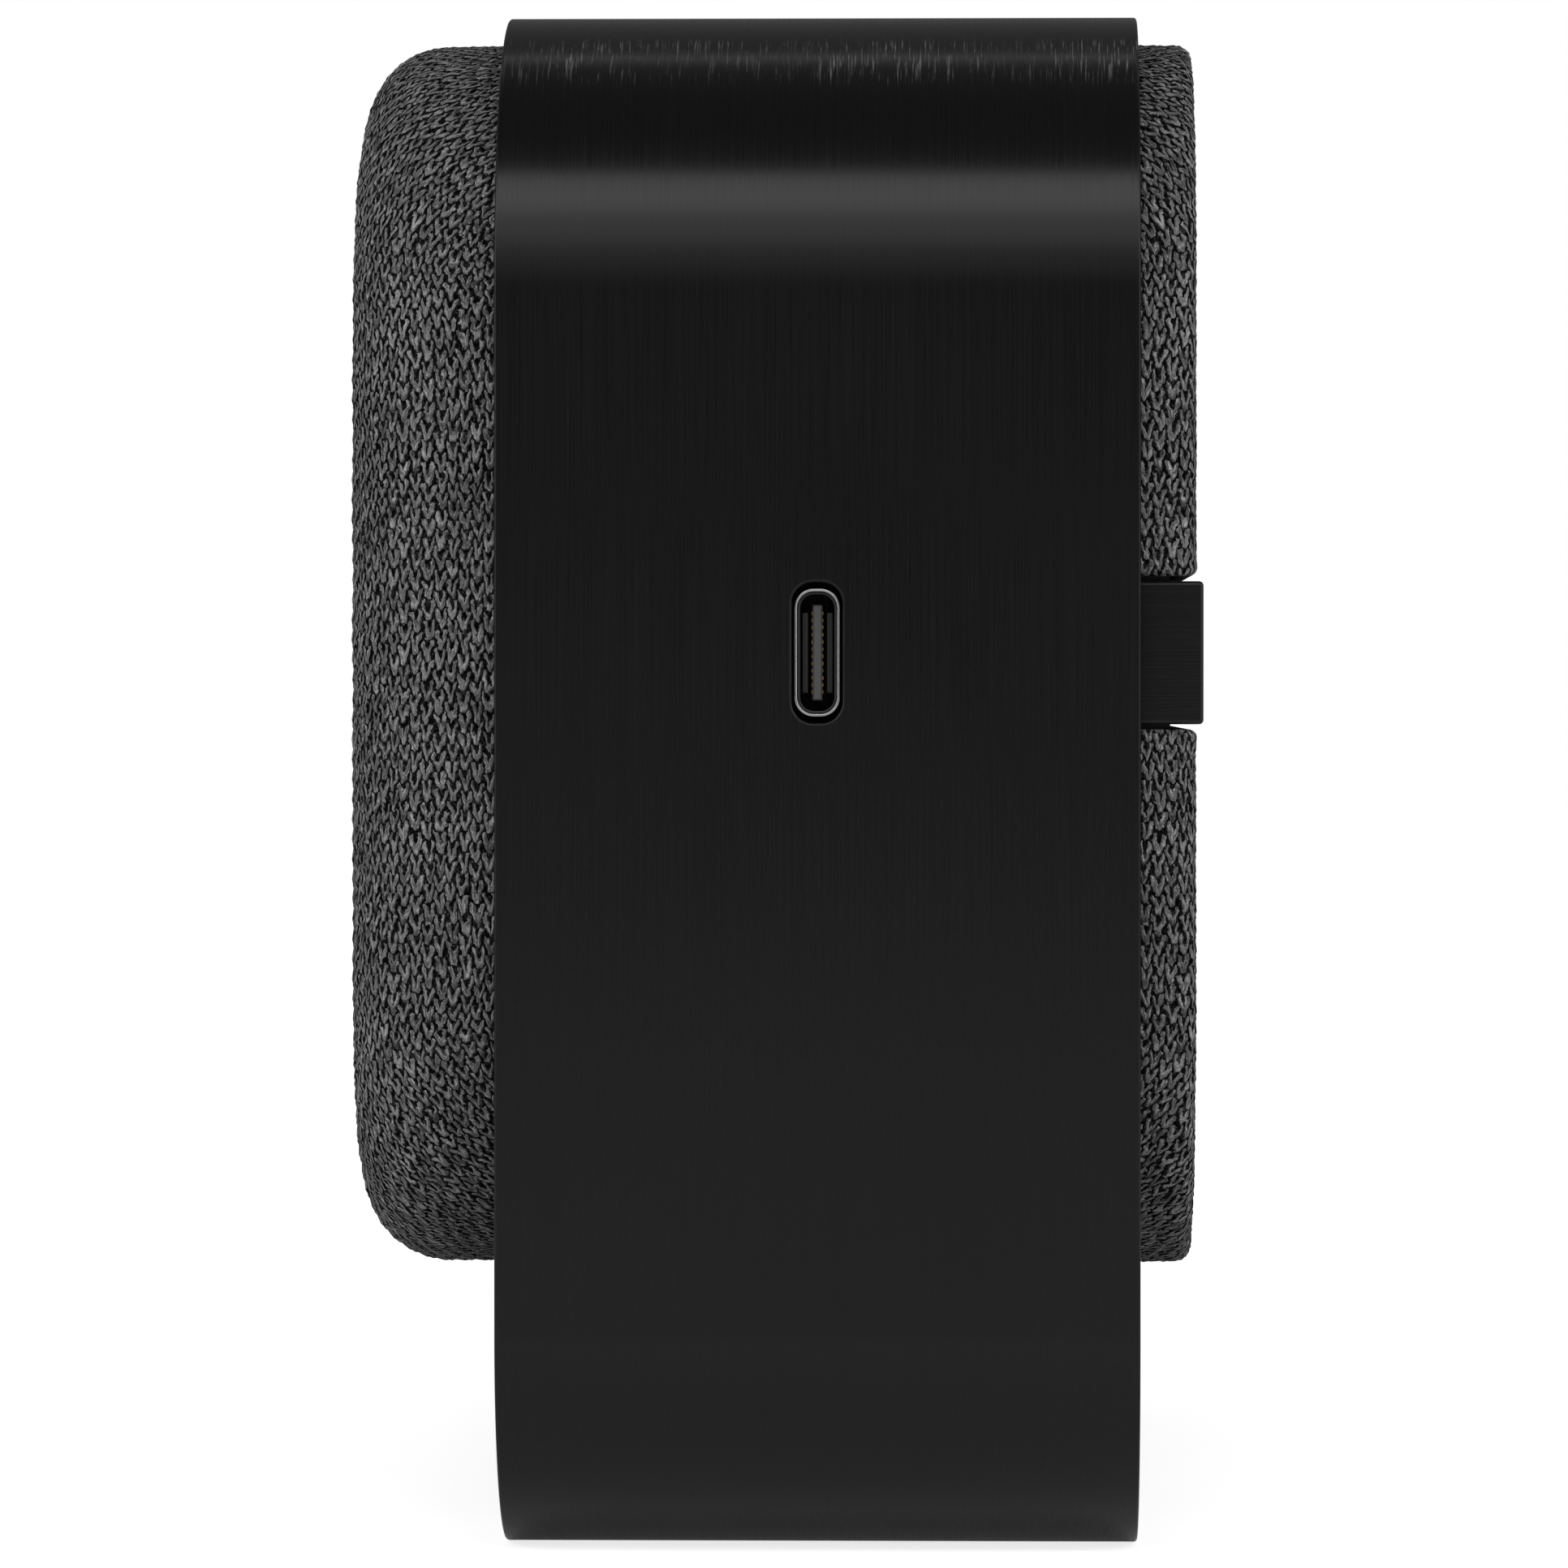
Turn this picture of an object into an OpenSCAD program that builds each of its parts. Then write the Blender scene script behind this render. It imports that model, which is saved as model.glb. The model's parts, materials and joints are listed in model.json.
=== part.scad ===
// Smart home hub: a knit-covered body held in an aluminium loop stand,
// with a cross bar over its back. Front is -Y, back is +Y, the USB port is
// on the +X side, and the loop stands on Z = 0. All sizes in millimetres.

/* [Loop stand] */
// Outer width of the loop
loop_w = 120; // [114:1:128]
// Outer height of the loop
loop_h = 109.4; // [107:0.2:112]
// Depth of the band, front edge to back edge
loop_d = 45.1; // [44:0.1:46]
// Thickness of the band
loop_t = 1.8; // [1.6:0.1:2.2]
// Outer radius of the two upper corners
loop_top_r = 21.2; // [20:0.2:22]
// Outer radius of the two lower corners
loop_bottom_r = 16; // [14:0.5:18]
// How far the band sits behind the front of the body
loop_setback = 10.6; // [10:0.1:11]

/* [Body] */
// Depth of the fabric-covered body
body_d = 59.7; // [59:0.1:61]
// Clear height between the band's floor and the body
body_clear = 17.8; // [14:0.2:20]
// Rounding of the front edge
body_front_r = 6.4; // [6:0.1:8]
// Rounding of the back edge
body_back_r = 1.2; // [1:0.1:2]
// Thickness of the knit
fabric_t = 0.9; // [0.7:0.1:1]
// Wall thickness of the plastic shells
shell_t = 2.2; // [2:0.1:2.4]

/* [Cross bar] */
// Height of the bar
bar_h = 10; // [9:0.1:11]
// Thickness of the bar across the back
bar_t = 2.2; // [2:0.1:2.4]
// Thickness of its two legs
bar_leg_t = 1.4; // [1.2:0.1:1.5]
// How far the bar stands behind the knit
bar_proud = 0.4; // [0.2:0.1:0.6]
// Length of each leg that is tucked under the band
bar_tuck = 16.6; // [14:0.2:17]

/* [Controls] */
// Travel of the mute slider
mute_travel = 2.4; // [2:0.1:2.6]
// Travel of the pairing button
pair_travel = 0.3; // [0.2:0.05:0.35]
// Distance of each control from the middle of the bar
control_x = 20; // [18:1:24]

/* [Speaker] */
// Radius of the speaker's flange
speaker_r = 31; // [30:0.5:32]
// Outer radius of the cone
cone_r = 20.5; // [20:0.5:21]
// Radius of the voice coil
coil_r = 8.3; // [8.1:0.1:8.5]

/* [Hidden] */
$fn = 64;
gap = 0.1;          // parts that lie against each other
eps = 0.5;          // how far a cutter runs past a face

y_front = -(body_d + bar_proud) / 2;
y_back = y_front + body_d;
y_bar = y_back + bar_proud;
loop_y0 = y_front + loop_setback;
loop_y1 = loop_y0 + loop_d;
loop_ym = (loop_y0 + loop_y1) / 2;

body_w = loop_w - 2 * (loop_t + gap);
body_z0 = loop_t + body_clear;
body_h = loop_h - loop_t - gap - body_z0;
zc = body_z0 + body_h / 2;
corner_r = loop_top_r - loop_t - gap;

shell_out = fabric_t;               // inset of the shells' outside
shell_in = fabric_t + shell_t;      // inset of their inside
split_y = y_back - 6.2;             // where the two shells meet
front_in = y_front + shell_in;      // inner face of the front wall
floor_y = y_bar - bar_t - gap;      // floor of the bar's channel
floor_in = floor_y - 1.7;           // inside of that floor
leg_y = loop_y1 - bar_tuck;         // front end of the bar's legs
leg_in_x = body_w / 2 - bar_leg_t;

boss_dx = body_w / 2 - corner_r + 9.4;
boss_dz = body_h / 2 - corner_r + 9.4;

// USB-C receptacle, standard sizes
usb_l = 8.94;
usb_h = 3.2;
usb_wall = 0.3;
usb_mouth_x = loop_w / 2 - 0.3;
usb_len = 7.4;
tongue_l = 6.69;
tongue_h = 0.7;
usb_slot = [3.55, 9.8];

// Speaker, from the front wall backwards
grille_t = 0.8;
gasket_t = 1;
flange_y = front_in + grille_t + gasket_t;
flange_t = 1.2;
coil_y = flange_y + 7;              // front end of the voice coil
plate_y = flange_y + 11.6;          // front of the magnet's top plate
plate_t = 2;
magnet_t = 6.4;
magnet_r = 17;
pole_r = coil_r - 0.6;
gap_r = coil_r + 1.1;

box_w = 84;
box_h = 66;
box_t = 1.8;
box_y = 9.5;                        // back of the speaker box
board_y = box_y + 5;
board_t = 1.6;
board_w = 88;
board_h = 60;
can_y = board_y + board_t;
can_t = 2.2;
pad_t = 0.5;
spreader_t = 1;

ctl_y = floor_in - 4;               // control board, front face
ctl_t = 1;
knob_y = y_bar - 0.2;               // outer face of both controls
wing_t = 0.4;                       // flange that keeps a control captive
wing_gap = 0.15;
wing_y = floor_in - wing_gap - wing_t;

peg_z = [zc - 21, zc + 21];
top_peg_x = [-26, 26];
mic_x = box_w / 2 + 4.5;
std_r = 2;                          // standoffs in the loop
std_y = loop_ym + 8;

// ---- helpers ----

// A flat shape in X and Z, extruded from y0 to y1
module along_y(y0, y1) {
    translate([0, y1, 0]) rotate([90, 0, 0]) linear_extrude(y1 - y0)
        children();
}

// A flat shape in Y and Z, extruded from x0 to x1
module along_x(x0, x1) {
    translate([x0, 0, 0]) rotate([90, 0, 90]) linear_extrude(x1 - x0)
        children();
}

// A profile of [radius, y] points turned about the speaker's axis
module turned(points) {
    translate([0, 0, zc]) rotate([-90, 0, 0]) rotate_extrude()
        polygon(points);
}

module ring_y(r0, r1, y0, y1) {
    turned([[r0, y0], [r1, y0], [r1, y1], [r0, y1]]);
}

module rod_y(r, y0, y1) {
    translate([0, y1, 0]) rotate([90, 0, 0]) cylinder(r = r, h = y1 - y0);
}

module rod_x(r, x0, x1) {
    translate([x0, 0, 0]) rotate([0, 90, 0]) cylinder(r = r, h = x1 - x0);
}

// A rectangle with its own radii at the top and the bottom, standing on 0
module round_rect(w, h, top_r, bottom_r) {
    translate([-w / 2, bottom_r]) square([w, h - top_r - bottom_r]);
    translate([-w / 2 + top_r, h - top_r]) square([w - 2 * top_r, top_r]);
    translate([-w / 2 + bottom_r, 0]) square([w - 2 * bottom_r, bottom_r]);
    for (side = [-1, 1]) {
        translate([side * (w / 2 - top_r), h - top_r]) circle(top_r);
        translate([side * (w / 2 - bottom_r), bottom_r]) circle(bottom_r);
    }
}

// An upright slot with round ends, centred
module upright_slot(w, h) {
    square([w, h - w], center = true);
    for (end = [-1, 1]) translate([0, end * (h - w) / 2]) circle(w / 2);
}

module level_slot(w, h) {
    rotate(90) upright_slot(h, w);
}

function arc(cx, cy, r, a0, a1, n) =
    [for (i = [0:n]) let (a = a0 + (a1 - a0) * i / n)
        [cx + r * cos(a), cy + r * sin(a)]];

// The soft box of the body, every face moved inwards by inset
module body_form(inset, y_end = y_back) {
    r = corner_r - inset;
    front = y_front + inset;
    back = y_end - inset;
    fr = body_front_r - inset;
    br = max(body_back_r - inset, 0.3);
    profile = concat([[0, front]],
        arc(r - fr, front + fr, fr, -90, 0, 8),
        arc(r - br, back - br, br, 0, 90, 3), [[0, back]]);
    hull() for (sx = [-1, 1], sz = [-1, 1])
        translate([sx * (body_w / 2 - corner_r), 0,
                   zc + sz * (body_h / 2 - corner_r)])
            rotate([-90, 0, 0]) rotate_extrude($fn = 48) polygon(profile);
}

// The same outline as a flat shape, with a true arc at each corner
module body_outline(inset) {
    translate([0, body_z0 + inset])
        round_rect(body_w - 2 * inset, body_h - 2 * inset,
            corner_r - inset, corner_r - inset);
}

module half_space(y0, y1) {
    translate([-loop_w, y0, -10]) cube([2 * loop_w, y1 - y0, loop_h + 20]);
}

module at_bosses() {
    for (sx = [-1, 1], sz = [-1, 1])
        translate([sx * boss_dx, 0, zc + sz * boss_dz]) children();
}

// The six places where the loop is fixed to the body
module at_side_pegs() {
    for (side = [0, 1], z = peg_z) translate([0, std_y, z])
        mirror([side, 0, 0]) children();
}

module at_top_pegs() {
    for (x = top_peg_x) translate([x, std_y, 0]) children();
}

// The space that the cross bar takes out of the knit and the shells
module bar_channel(room, depth_y, depth_x) {
    h = bar_h + 2 * room;
    translate([-loop_w, depth_y, zc - h / 2]) cube([2 * loop_w, 20, h]);
    for (side = [0, 1]) mirror([side, 0, 0])
        translate([depth_x, leg_y - 0.3, zc - h / 2])
            cube([10, y_bar - leg_y + 5, h]);
}

// A screw along +Y, its head's outer face at y = 0, pointing to -Y
module screw(head_r, head_t, shank_r, length) {
    difference() {
        union() {
            rod_y(head_r, -head_t, 0);
            rod_y(shank_r, -length, -head_t);
        }
        rod_y(shank_r * 0.6, -head_t * 0.6, eps);
    }
}

// A thin round lead along a few points
module lead(points, d) {
    for (i = [1:len(points) - 1]) hull() {
        translate(points[i - 1]) sphere(d = d, $fn = 10);
        translate(points[i]) sphere(d = d, $fn = 10);
    }
}

// ---- loop stand ----

pad_w = 78;
pad_d = 38;
pad_z = 0.8;

module loop_stand() color("#1a1a1b") difference() {
    along_y(loop_y0, loop_y1) difference() {
        round_rect(loop_w, loop_h, loop_top_r, loop_bottom_r);
        translate([0, loop_t]) round_rect(loop_w - 2 * loop_t,
            loop_h - 2 * loop_t, loop_top_r - loop_t,
            loop_bottom_r - loop_t);
    }
    translate([0, loop_ym, zc]) along_x(loop_w / 2 - 5, loop_w / 2 + 5)
        upright_slot(usb_slot[0], usb_slot[1]);
    translate([-pad_w / 2, loop_ym - pad_d / 2, -eps])
        cube([pad_w, pad_d, pad_z + eps]);
    at_side_pegs() rod_x(std_r, loop_w / 2 - loop_t - eps,
        loop_w / 2 - loop_t + 1.1);
    at_top_pegs() translate([0, 0, loop_h - loop_t - eps])
        cylinder(r = std_r, h = eps + 1.1);
}

module foot_pad() color("#202020") difference() {
    translate([-pad_w / 2 + gap, loop_ym - pad_d / 2 + gap, 0])
        cube([pad_w - 2 * gap, pad_d - 2 * gap, pad_z]);
    for (i = [-8:8]) translate([i * 4.4 - 0.4, loop_ym - pad_d / 2 + 2, -eps])
        cube([0.8, pad_d - 4, eps + 0.3]);
}

module loop_standoffs() color("#9a9c9e") {
    top_z = loop_h - loop_t;
    at_side_pegs() difference() {
        rod_x(std_r - gap / 2, loop_w / 2 - loop_t - 1.2,
            loop_w / 2 - loop_t + 1);
        rod_x(0.8, loop_w / 2 - loop_t - 2, loop_w / 2 - loop_t + 0.6);
    }
    at_top_pegs() difference() {
        translate([0, 0, top_z - 1.2])
            cylinder(r = std_r - gap / 2, h = 2.2);
        translate([0, 0, top_z - 2]) cylinder(r = 0.8, h = 2.6);
    }
}

module loop_screws() color("#8b8d90") {
    head = body_w / 2 - shell_in - gap;
    at_side_pegs() difference() {
        union() {
            rod_x(0.7, head, loop_w / 2 - loop_t + 0.4);
            rod_x(1.6, head - 1.2, head);
        }
        rod_x(0.6, head - 1.7, head - 0.5);
    }
    top = body_z0 + body_h - shell_in - gap;
    at_top_pegs() difference() {
        union() {
            translate([0, 0, top]) cylinder(r = 0.7, h = shell_in + 0.5);
            translate([0, 0, top - 1.2]) cylinder(r = 1.6, h = 1.2);
        }
        translate([0, 0, top - 1.7]) cylinder(r = 0.6, h = 1.2);
    }
}

// ---- body ----

module peg_holes(r) {
    at_side_pegs() rod_x(r, body_w / 2 - 6, body_w / 2 + 2);
    at_top_pegs() translate([0, 0, body_z0 + body_h - 6])
        cylinder(r = r, h = 8);
}

// The knit skin, which two panels share: they meet under the band
module knit_skin(y0, y1) difference() {
    body_form(0);
    body_form(fabric_t);
    half_space(y_front - 5, y0);
    half_space(y1, y_back + 5);
    bar_channel(0.35, y_back - 4, leg_in_x - 1);
    translate([0, loop_ym, zc]) along_x(body_w / 2 - 3, body_w / 2 + 3)
        upright_slot(usb_slot[0] + 1, usb_slot[1] + 1);
    peg_holes(std_r + 0.2);
}

module front_knit() color("#414141")
    knit_skin(y_front - 4, loop_ym - gap / 2);

module rear_knit() color("#414141")
    knit_skin(loop_ym + gap / 2, y_back + 4);

module front_shell() color("#2a2b2c") {
    difference() {
        body_form(shell_out + 0.02);
        body_form(shell_in, y_back + 12);
        half_space(split_y, y_back + 20);
        bar_channel(0.5, y_back, leg_in_x - gap);
        at_ears() rod_y(0.95, front_in - 1.5, front_in + 1);
        translate([0, y_front - 5, zc]) rod_y(speaker_r - 5, 0, 12);
        at_mics() rod_y(0.6, y_front - 1, front_in + 1);
        at_speaker_screws() rod_y(0.95, front_in - 1.3, front_in + 1);
        translate([0, loop_ym, zc]) along_x(body_w / 2 - 6, body_w / 2 + 3)
            upright_slot(usb_slot[0] + 1, usb_slot[1] + 1);
        peg_holes(1);
        at_side_pegs() rod_x(std_r + 0.1, body_w / 2 - 1.4, body_w / 2 + 2);
        at_top_pegs() translate([0, 0, body_z0 + body_h - 1.4])
            cylinder(r = std_r + 0.1, h = 4);
    }
    // screw bosses in the four corners, and the seats of the speaker box
    difference() {
        at_bosses() rod_y(3.4, split_y - 14, split_y);
        at_bosses() rod_y(1.05, split_y - 10, split_y + eps);
    }
    difference() {
        at_ears() rod_y(2.6, front_in - 0.4, front_in + 1);
        at_ears() rod_y(0.95, front_in - 1, front_in + 2);
    }
}

module rear_shell() color("#2a2b2c") difference() {
    union() {
        difference() {
            body_form(shell_out + 0.02);
            half_space(y_front - 5, split_y + gap);
            along_y(split_y - 5, y_back - shell_in)
                body_outline(shell_in);
        }
        // locating lip inside the front shell
        along_y(split_y - 2.2, y_back - shell_in + 0.2) difference() {
            body_outline(shell_in + 0.15);
            body_outline(shell_in + 1.35);
        }
        // floor of the channel and the bosses for the bar's screws
        translate([-body_w / 2 + shell_in + 1, floor_in, zc - bar_h / 2 - 2])
            cube([body_w - 2 * shell_in - 2, floor_y - floor_in, bar_h + 4]);
        for (side = [-1, 1]) translate([side * 44, 0, zc])
            rod_y(2.6, floor_in - 4.5, floor_in + eps);
        at_control_posts() rod_y(1.6, ctl_y + ctl_t, floor_in + eps);
    }
    at_control_posts() rod_y(0.75, ctl_y, floor_in - 0.4);
    bar_channel(0.5, floor_y, leg_in_x - gap);
    for (side = [-1, 1]) translate([side * 44, 0, zc])
        rod_y(0.95, floor_in - 3.5, y_bar);
    at_bosses() rod_y(1.3, split_y - 3, y_back);
    at_bosses() rod_y(2.4, y_back - 2.4, y_back + eps);
    at_bosses() rod_y(3.6, split_y - 3, split_y + gap);
    translate([control_x, 0, zc]) rod_y(1.5, floor_in - 1, y_bar);
    translate([0, 0, zc]) rod_y(0.75, floor_in - 1, y_bar);
    translate([-control_x, floor_in - 1, zc])
        along_y(0, 5) level_slot(mute_travel + 2.2 + 0.8, 2.2);
}

module shell_screws() color("#8b8d90")
    at_bosses() translate([0, y_back - fabric_t - 0.15, 0])
        screw(2.1, 1.2, 0.95, 13);

// ---- cross bar and controls ----

module rear_bar() color("#1e1e1f") difference() {
    translate([0, 0, zc - bar_h / 2]) linear_extrude(bar_h)
        polygon([
            [-body_w / 2, leg_y], [-body_w / 2, y_bar - 0.4],
            [-body_w / 2 + 0.3, y_bar], [body_w / 2 - 0.3, y_bar],
            [body_w / 2, y_bar - 0.4], [body_w / 2, leg_y],
            [leg_in_x, leg_y], [leg_in_x, y_bar - bar_t],
            [-leg_in_x, y_bar - bar_t], [-leg_in_x, leg_y]]);
    translate([control_x, 0, zc]) rod_y(2.3, floor_y - 1, y_bar + eps);
    translate([0, 0, zc]) rod_y(0.9, floor_y - 1, y_bar + eps);
    translate([-control_x, 0, zc]) along_y(floor_y - 1, y_bar + eps)
        level_slot(mute_travel + 4 + 0.4, 3.2);
    for (side = [-1, 1]) translate([side * 44, 0, zc]) {
        rod_y(1.1, floor_y - 1, y_bar + eps);
        rod_y(2.1, y_bar - 1.2, y_bar + eps);
    }
}

module bar_screws() color("#303133") for (side = [-1, 1])
    translate([side * 44, y_bar - 0.1, zc]) screw(2, 1, 0.85, 6.2);

// Knob outside the wall, stem through it, wing behind it
module mute_slider() color("#2d2d2e")
    translate([-control_x - mute_travel / 2, 0, zc]) {
        difference() {
            along_y(floor_y + 0.1, knob_y) level_slot(4, 2.8);
            for (i = [-1:1]) translate([i * 0.8 - 0.15, knob_y - 0.2, -2])
                cube([0.3, 1, 4]);
        }
        along_y(wing_y, floor_y + 0.1) level_slot(2.2, 1.8);
        along_y(wing_y, wing_y + wing_t) square([7.6, 3.4], center = true);
        along_y(wing_y - 1.2, wing_y) square([1, 1], center = true);
    }

module pair_button() color("#2d2d2e") translate([control_x, 0, zc])
    difference() {
        union() {
            rod_y(2.15, floor_y + pair_travel + 0.1, knob_y);
            rod_y(1.35, wing_y, floor_y + pair_travel + 0.1);
            rod_y(2.2, wing_y, wing_y + wing_t);
            rod_y(0.8, wing_y - 1.2, wing_y);
        }
        translate([0, knob_y + 5.8, 0]) sphere(6);
    }

module status_lens() color("#d8dcdf") {
    translate([0, 0, zc]) {
        rod_y(0.85, floor_y, y_bar - 0.1);
        rod_y(0.7, ctl_y + ctl_t + 1, floor_y);
    }
}

module at_control_posts() {
    for (x = [-10, 10]) translate([x, 0, zc]) children();
}

module control_board() color("#1d4a35") difference() {
    translate([-30, ctl_y, zc - 4]) cube([60, ctl_t, 8]);
    at_control_posts() rod_y(0.9, ctl_y - 1, ctl_y + 2);
}

module control_screws() color("#8b8d90")
    at_control_posts() translate([0, ctl_y - 0.8, 0]) mirror([0, 1, 0])
        screw(1.5, 0.8, 0.7, 4.2);

module mute_switch() color("#b9bbbd") difference() {
    translate([-control_x - 4, ctl_y + ctl_t, zc - 1.8])
        cube([8, 1.7, 3.6]);
    translate([-control_x - 3, ctl_y + ctl_t + 0.5, zc - 0.8])
        cube([6, 2, 1.6]);
}

module pair_switch() color("#b9bbbd") difference() {
    translate([control_x - 2.6, ctl_y + ctl_t, zc - 2.6])
        cube([5.2, 1.7, 5.2]);
    translate([control_x, 0, zc]) rod_y(1, ctl_y + ctl_t + 0.5, floor_in);
}

module status_led() color("#e8e4c8")
    translate([-0.8, ctl_y + ctl_t, zc - 0.5]) cube([1.6, 0.7, 1]);

// ---- USB port ----

module usb_stadium(inset) {
    upright_slot(usb_h - 2 * inset, usb_l - 2 * inset);
}

module usb_shell() color("#c4c6c9") translate([0, loop_ym, zc])
    difference() {
        along_x(usb_mouth_x - usb_len, usb_mouth_x) usb_stadium(0);
        along_x(usb_mouth_x - usb_len + 0.8, usb_mouth_x + eps)
            usb_stadium(usb_wall);
    }

module usb_tongue() color("#1b1b1c") translate([0, loop_ym, zc])
    along_x(usb_mouth_x - usb_len + 0.8, usb_mouth_x - 0.9)
        square([tongue_h, tongue_l], center = true);

module usb_contacts() color("#c9a24a") translate([0, loop_ym, zc])
    for (side = [-1, 1], i = [0:11])
        translate([usb_mouth_x - 5.2, side * (tongue_h / 2 + 0.025) - 0.025,
                   (i - 5.5) * 0.5 - 0.12])
            cube([4, 0.05, 0.24]);

usb_board_y = loop_ym + usb_h / 2 + 0.02;

module usb_board() color("#1d4a35")
    translate([44.5, usb_board_y, zc - 11]) cube([9.5, 1, 22]);

// Seals the port into the wall of the shell
module port_gasket() color("#181818") translate([0, loop_ym, zc])
    along_x(body_w / 2 - shell_in + 0.2, body_w / 2 - fabric_t) difference() {
        upright_slot(usb_slot[0] + 0.8, usb_slot[1] + 0.8);
        upright_slot(usb_h + 0.06, usb_l + 0.06);
    }

// Flat ribbons, each a bent strip drawn on edge
module usb_ribbon() color("#c98b3a") translate([0, 0, zc + 5.5])
    linear_extrude(4) polygon([
        [46, usb_board_y + 1], [49, usb_board_y + 1],
        [49, can_y + 1.5], [40, can_y + 1.5], [40, can_y + 1.2],
        [48.7, can_y + 1.2], [48.7, usb_board_y + 1.3],
        [46, usb_board_y + 1.3]]);

module control_ribbon() color("#c98b3a") along_x(-29, -25) polygon([
    [ctl_y, zc - 0.5], [ctl_y - 0.3, zc - 0.5], [ctl_y - 0.3, zc - 3],
    [can_y + 1.2, zc - 20], [can_y + 1.2, zc - 23],
    [can_y + 1.5, zc - 23], [can_y + 1.5, zc - 20.1], [ctl_y, zc - 3.1]]);

// ---- electronics ----

module board_holes(r) {
    for (sx = [-1, 1], sz = [-1, 1])
        translate([sx * 40, 0, zc + sz * 26]) rod_y(r, box_y, can_y + eps);
}

module main_board() color("#1d4a35") difference() {
    translate([0, 0, zc - board_h / 2]) along_y(board_y, board_y + board_t)
        round_rect(board_w, board_h, 2, 2);
    board_holes(1.2);
}

module board_screws() color("#8b8d90")
    for (sx = [-1, 1], sz = [-1, 1])
        translate([sx * 40, can_y + 1.3, zc + sz * 26])
            screw(2, 1.2, 0.85, 6.4);

module shield_cans() color("#b4b7ba") {
    translate([-24, can_y, zc - 14]) difference() {
        cube([30, can_t, 28]);
        translate([0.3, -eps, 0.3]) cube([29.4, can_t - 0.3 + eps, 27.4]);
    }
    translate([12, can_y, zc + 4]) difference() {
        cube([18, can_t, 16]);
        translate([0.3, -eps, 0.3]) cube([17.4, can_t - 0.3 + eps, 15.4]);
    }
}

module board_connectors() color("#d9d4c4") {
    translate([37, can_y, zc + 5]) cube([4, 1.15, 5]);
    translate([-29.5, can_y, zc - 24]) cube([5, 1.15, 3.5]);
    translate([-33, board_y - 2.6, zc - 24]) cube([6, 2.6, 5]);
    for (side = [0, 1]) mirror([side, 0, 0])
        translate([37, can_y, zc + 11]) cube([4, 1.15, 4.5]);
}

module thermal_pad() color("#7f8aa0")
    translate([-22, can_y + can_t, zc - 12]) cube([26, pad_t, 24]);

module heat_spreader() color("#a9acb0") {
    y = can_y + can_t + pad_t;
    translate([-23.5, y, zc - 25]) cube([60, spreader_t, 40]);
    for (z = [zc - 25, zc + 14])
        translate([-20, y - 2, z]) cube([10, 2, 1]);
}

module wifi_antenna() color("#c98b3a")
    translate([body_w / 2 - shell_in - 0.55, -20, zc + 14])
        cube([0.4, 28, 8]);

module mesh_antenna() color("#c98b3a")
    translate([-body_w / 2 + shell_in + 0.15, -20, zc + 14])
        cube([0.4, 28, 8]);

module antenna_leads() color("#151515") for (side = [-1, 1]) {
    x = body_w / 2 - shell_in - 1.3;
    lead([[side * x, -10, zc + 18], [side * (x - 1), 2, zc + 18],
          [side * (x - 3), 14, zc + 20], [side * 47, can_y + 1.2, zc + 21],
          [side * 34, can_y + 0.8, zc + 21]], 1);
}

module at_mics() {
    for (side = [0, 1]) mirror([side, 0, 0])
        translate([mic_x, 0, zc + 4]) children();
}

module mic_board() color("#1d4a35") at_mics()
    translate([-2.1, front_in + 1, -6]) cube([4.2, 1, 18.5]);

module microphones() color("#c8b27a") at_mics()
    translate([-1.3, front_in + 2, -1.8]) cube([2.6, 1, 3.6]);

module mic_gaskets() color("#181818") at_mics() difference() {
    rod_y(1.8, front_in, front_in + 1);
    rod_y(0.6, front_in - 1, front_in + 2);
}

module mic_ribbon() color("#c98b3a") for (side = [0, 1])
    mirror([side, 0, 0]) translate([0, 0, zc + 11.5]) linear_extrude(3.5)
        polygon([
            [48, front_in + 2], [48, front_in + 2.25],
            [45.25, front_in + 2.25], [45.25, can_y + 1.5],
            [40, can_y + 1.5], [40, can_y + 1.2],
            [45, can_y + 1.2], [45, front_in + 2]]);

// ---- speaker ----

hole_pitch = 4.4;

module at_speaker_screws() {
    for (a = [45:90:315]) translate([0, 0, zc]) rotate([0, a, 0])
        translate([speaker_r - 1.9, 0, 0]) children();
}

module speaker_grille() color("#2f3032") difference() {
    translate([0, 0, zc]) rod_y(speaker_r, front_in, front_in + grille_t);
    at_speaker_screws() rod_y(1.05, front_in - 1, front_in + 2);
    for (i = [-6:6], j = [-7:7]) {
        x = (i + j / 2) * hole_pitch;
        z = j * hole_pitch * sin(60);
        if (norm([x, z]) < speaker_r - 7) translate([x, 0, zc + z])
            rod_y(1.5, front_in - 1, front_in + 2);
    }
}

module speaker_gasket() color("#181818") difference() {
    ring_y(speaker_r - 5, speaker_r, front_in + grille_t, flange_y);
    at_speaker_screws() rod_y(1.05, front_in, flange_y + 1);
}

module speaker_basket() color("#222324") difference() {
    turned([[speaker_r - 6, flange_y], [speaker_r, flange_y],
        [speaker_r, flange_y + flange_t],
        [speaker_r - 3.6, flange_y + flange_t],
        [speaker_r - 3.6, flange_y + 6], [magnet_r, plate_y],
        [gap_r + 3, plate_y], [gap_r + 3, plate_y - 1],
        [gap_r + 3.8, plate_y - 1], [gap_r + 3.8, plate_y - 1.8],
        [magnet_r - 1.5, plate_y - 1.8], [speaker_r - 4.8, flange_y + 5.6],
        [speaker_r - 4.8, flange_y + flange_t],
        [speaker_r - 6, flange_y + flange_t]]);
    for (a = [0:60:300]) translate([0, plate_y - 5.5, zc]) rotate([0, a, 0])
        translate([-5, -2.8, 14]) cube([10, 5.6, 20]);
    at_speaker_screws() rod_y(1.05, flange_y - 1, flange_y + 3);
}

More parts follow.
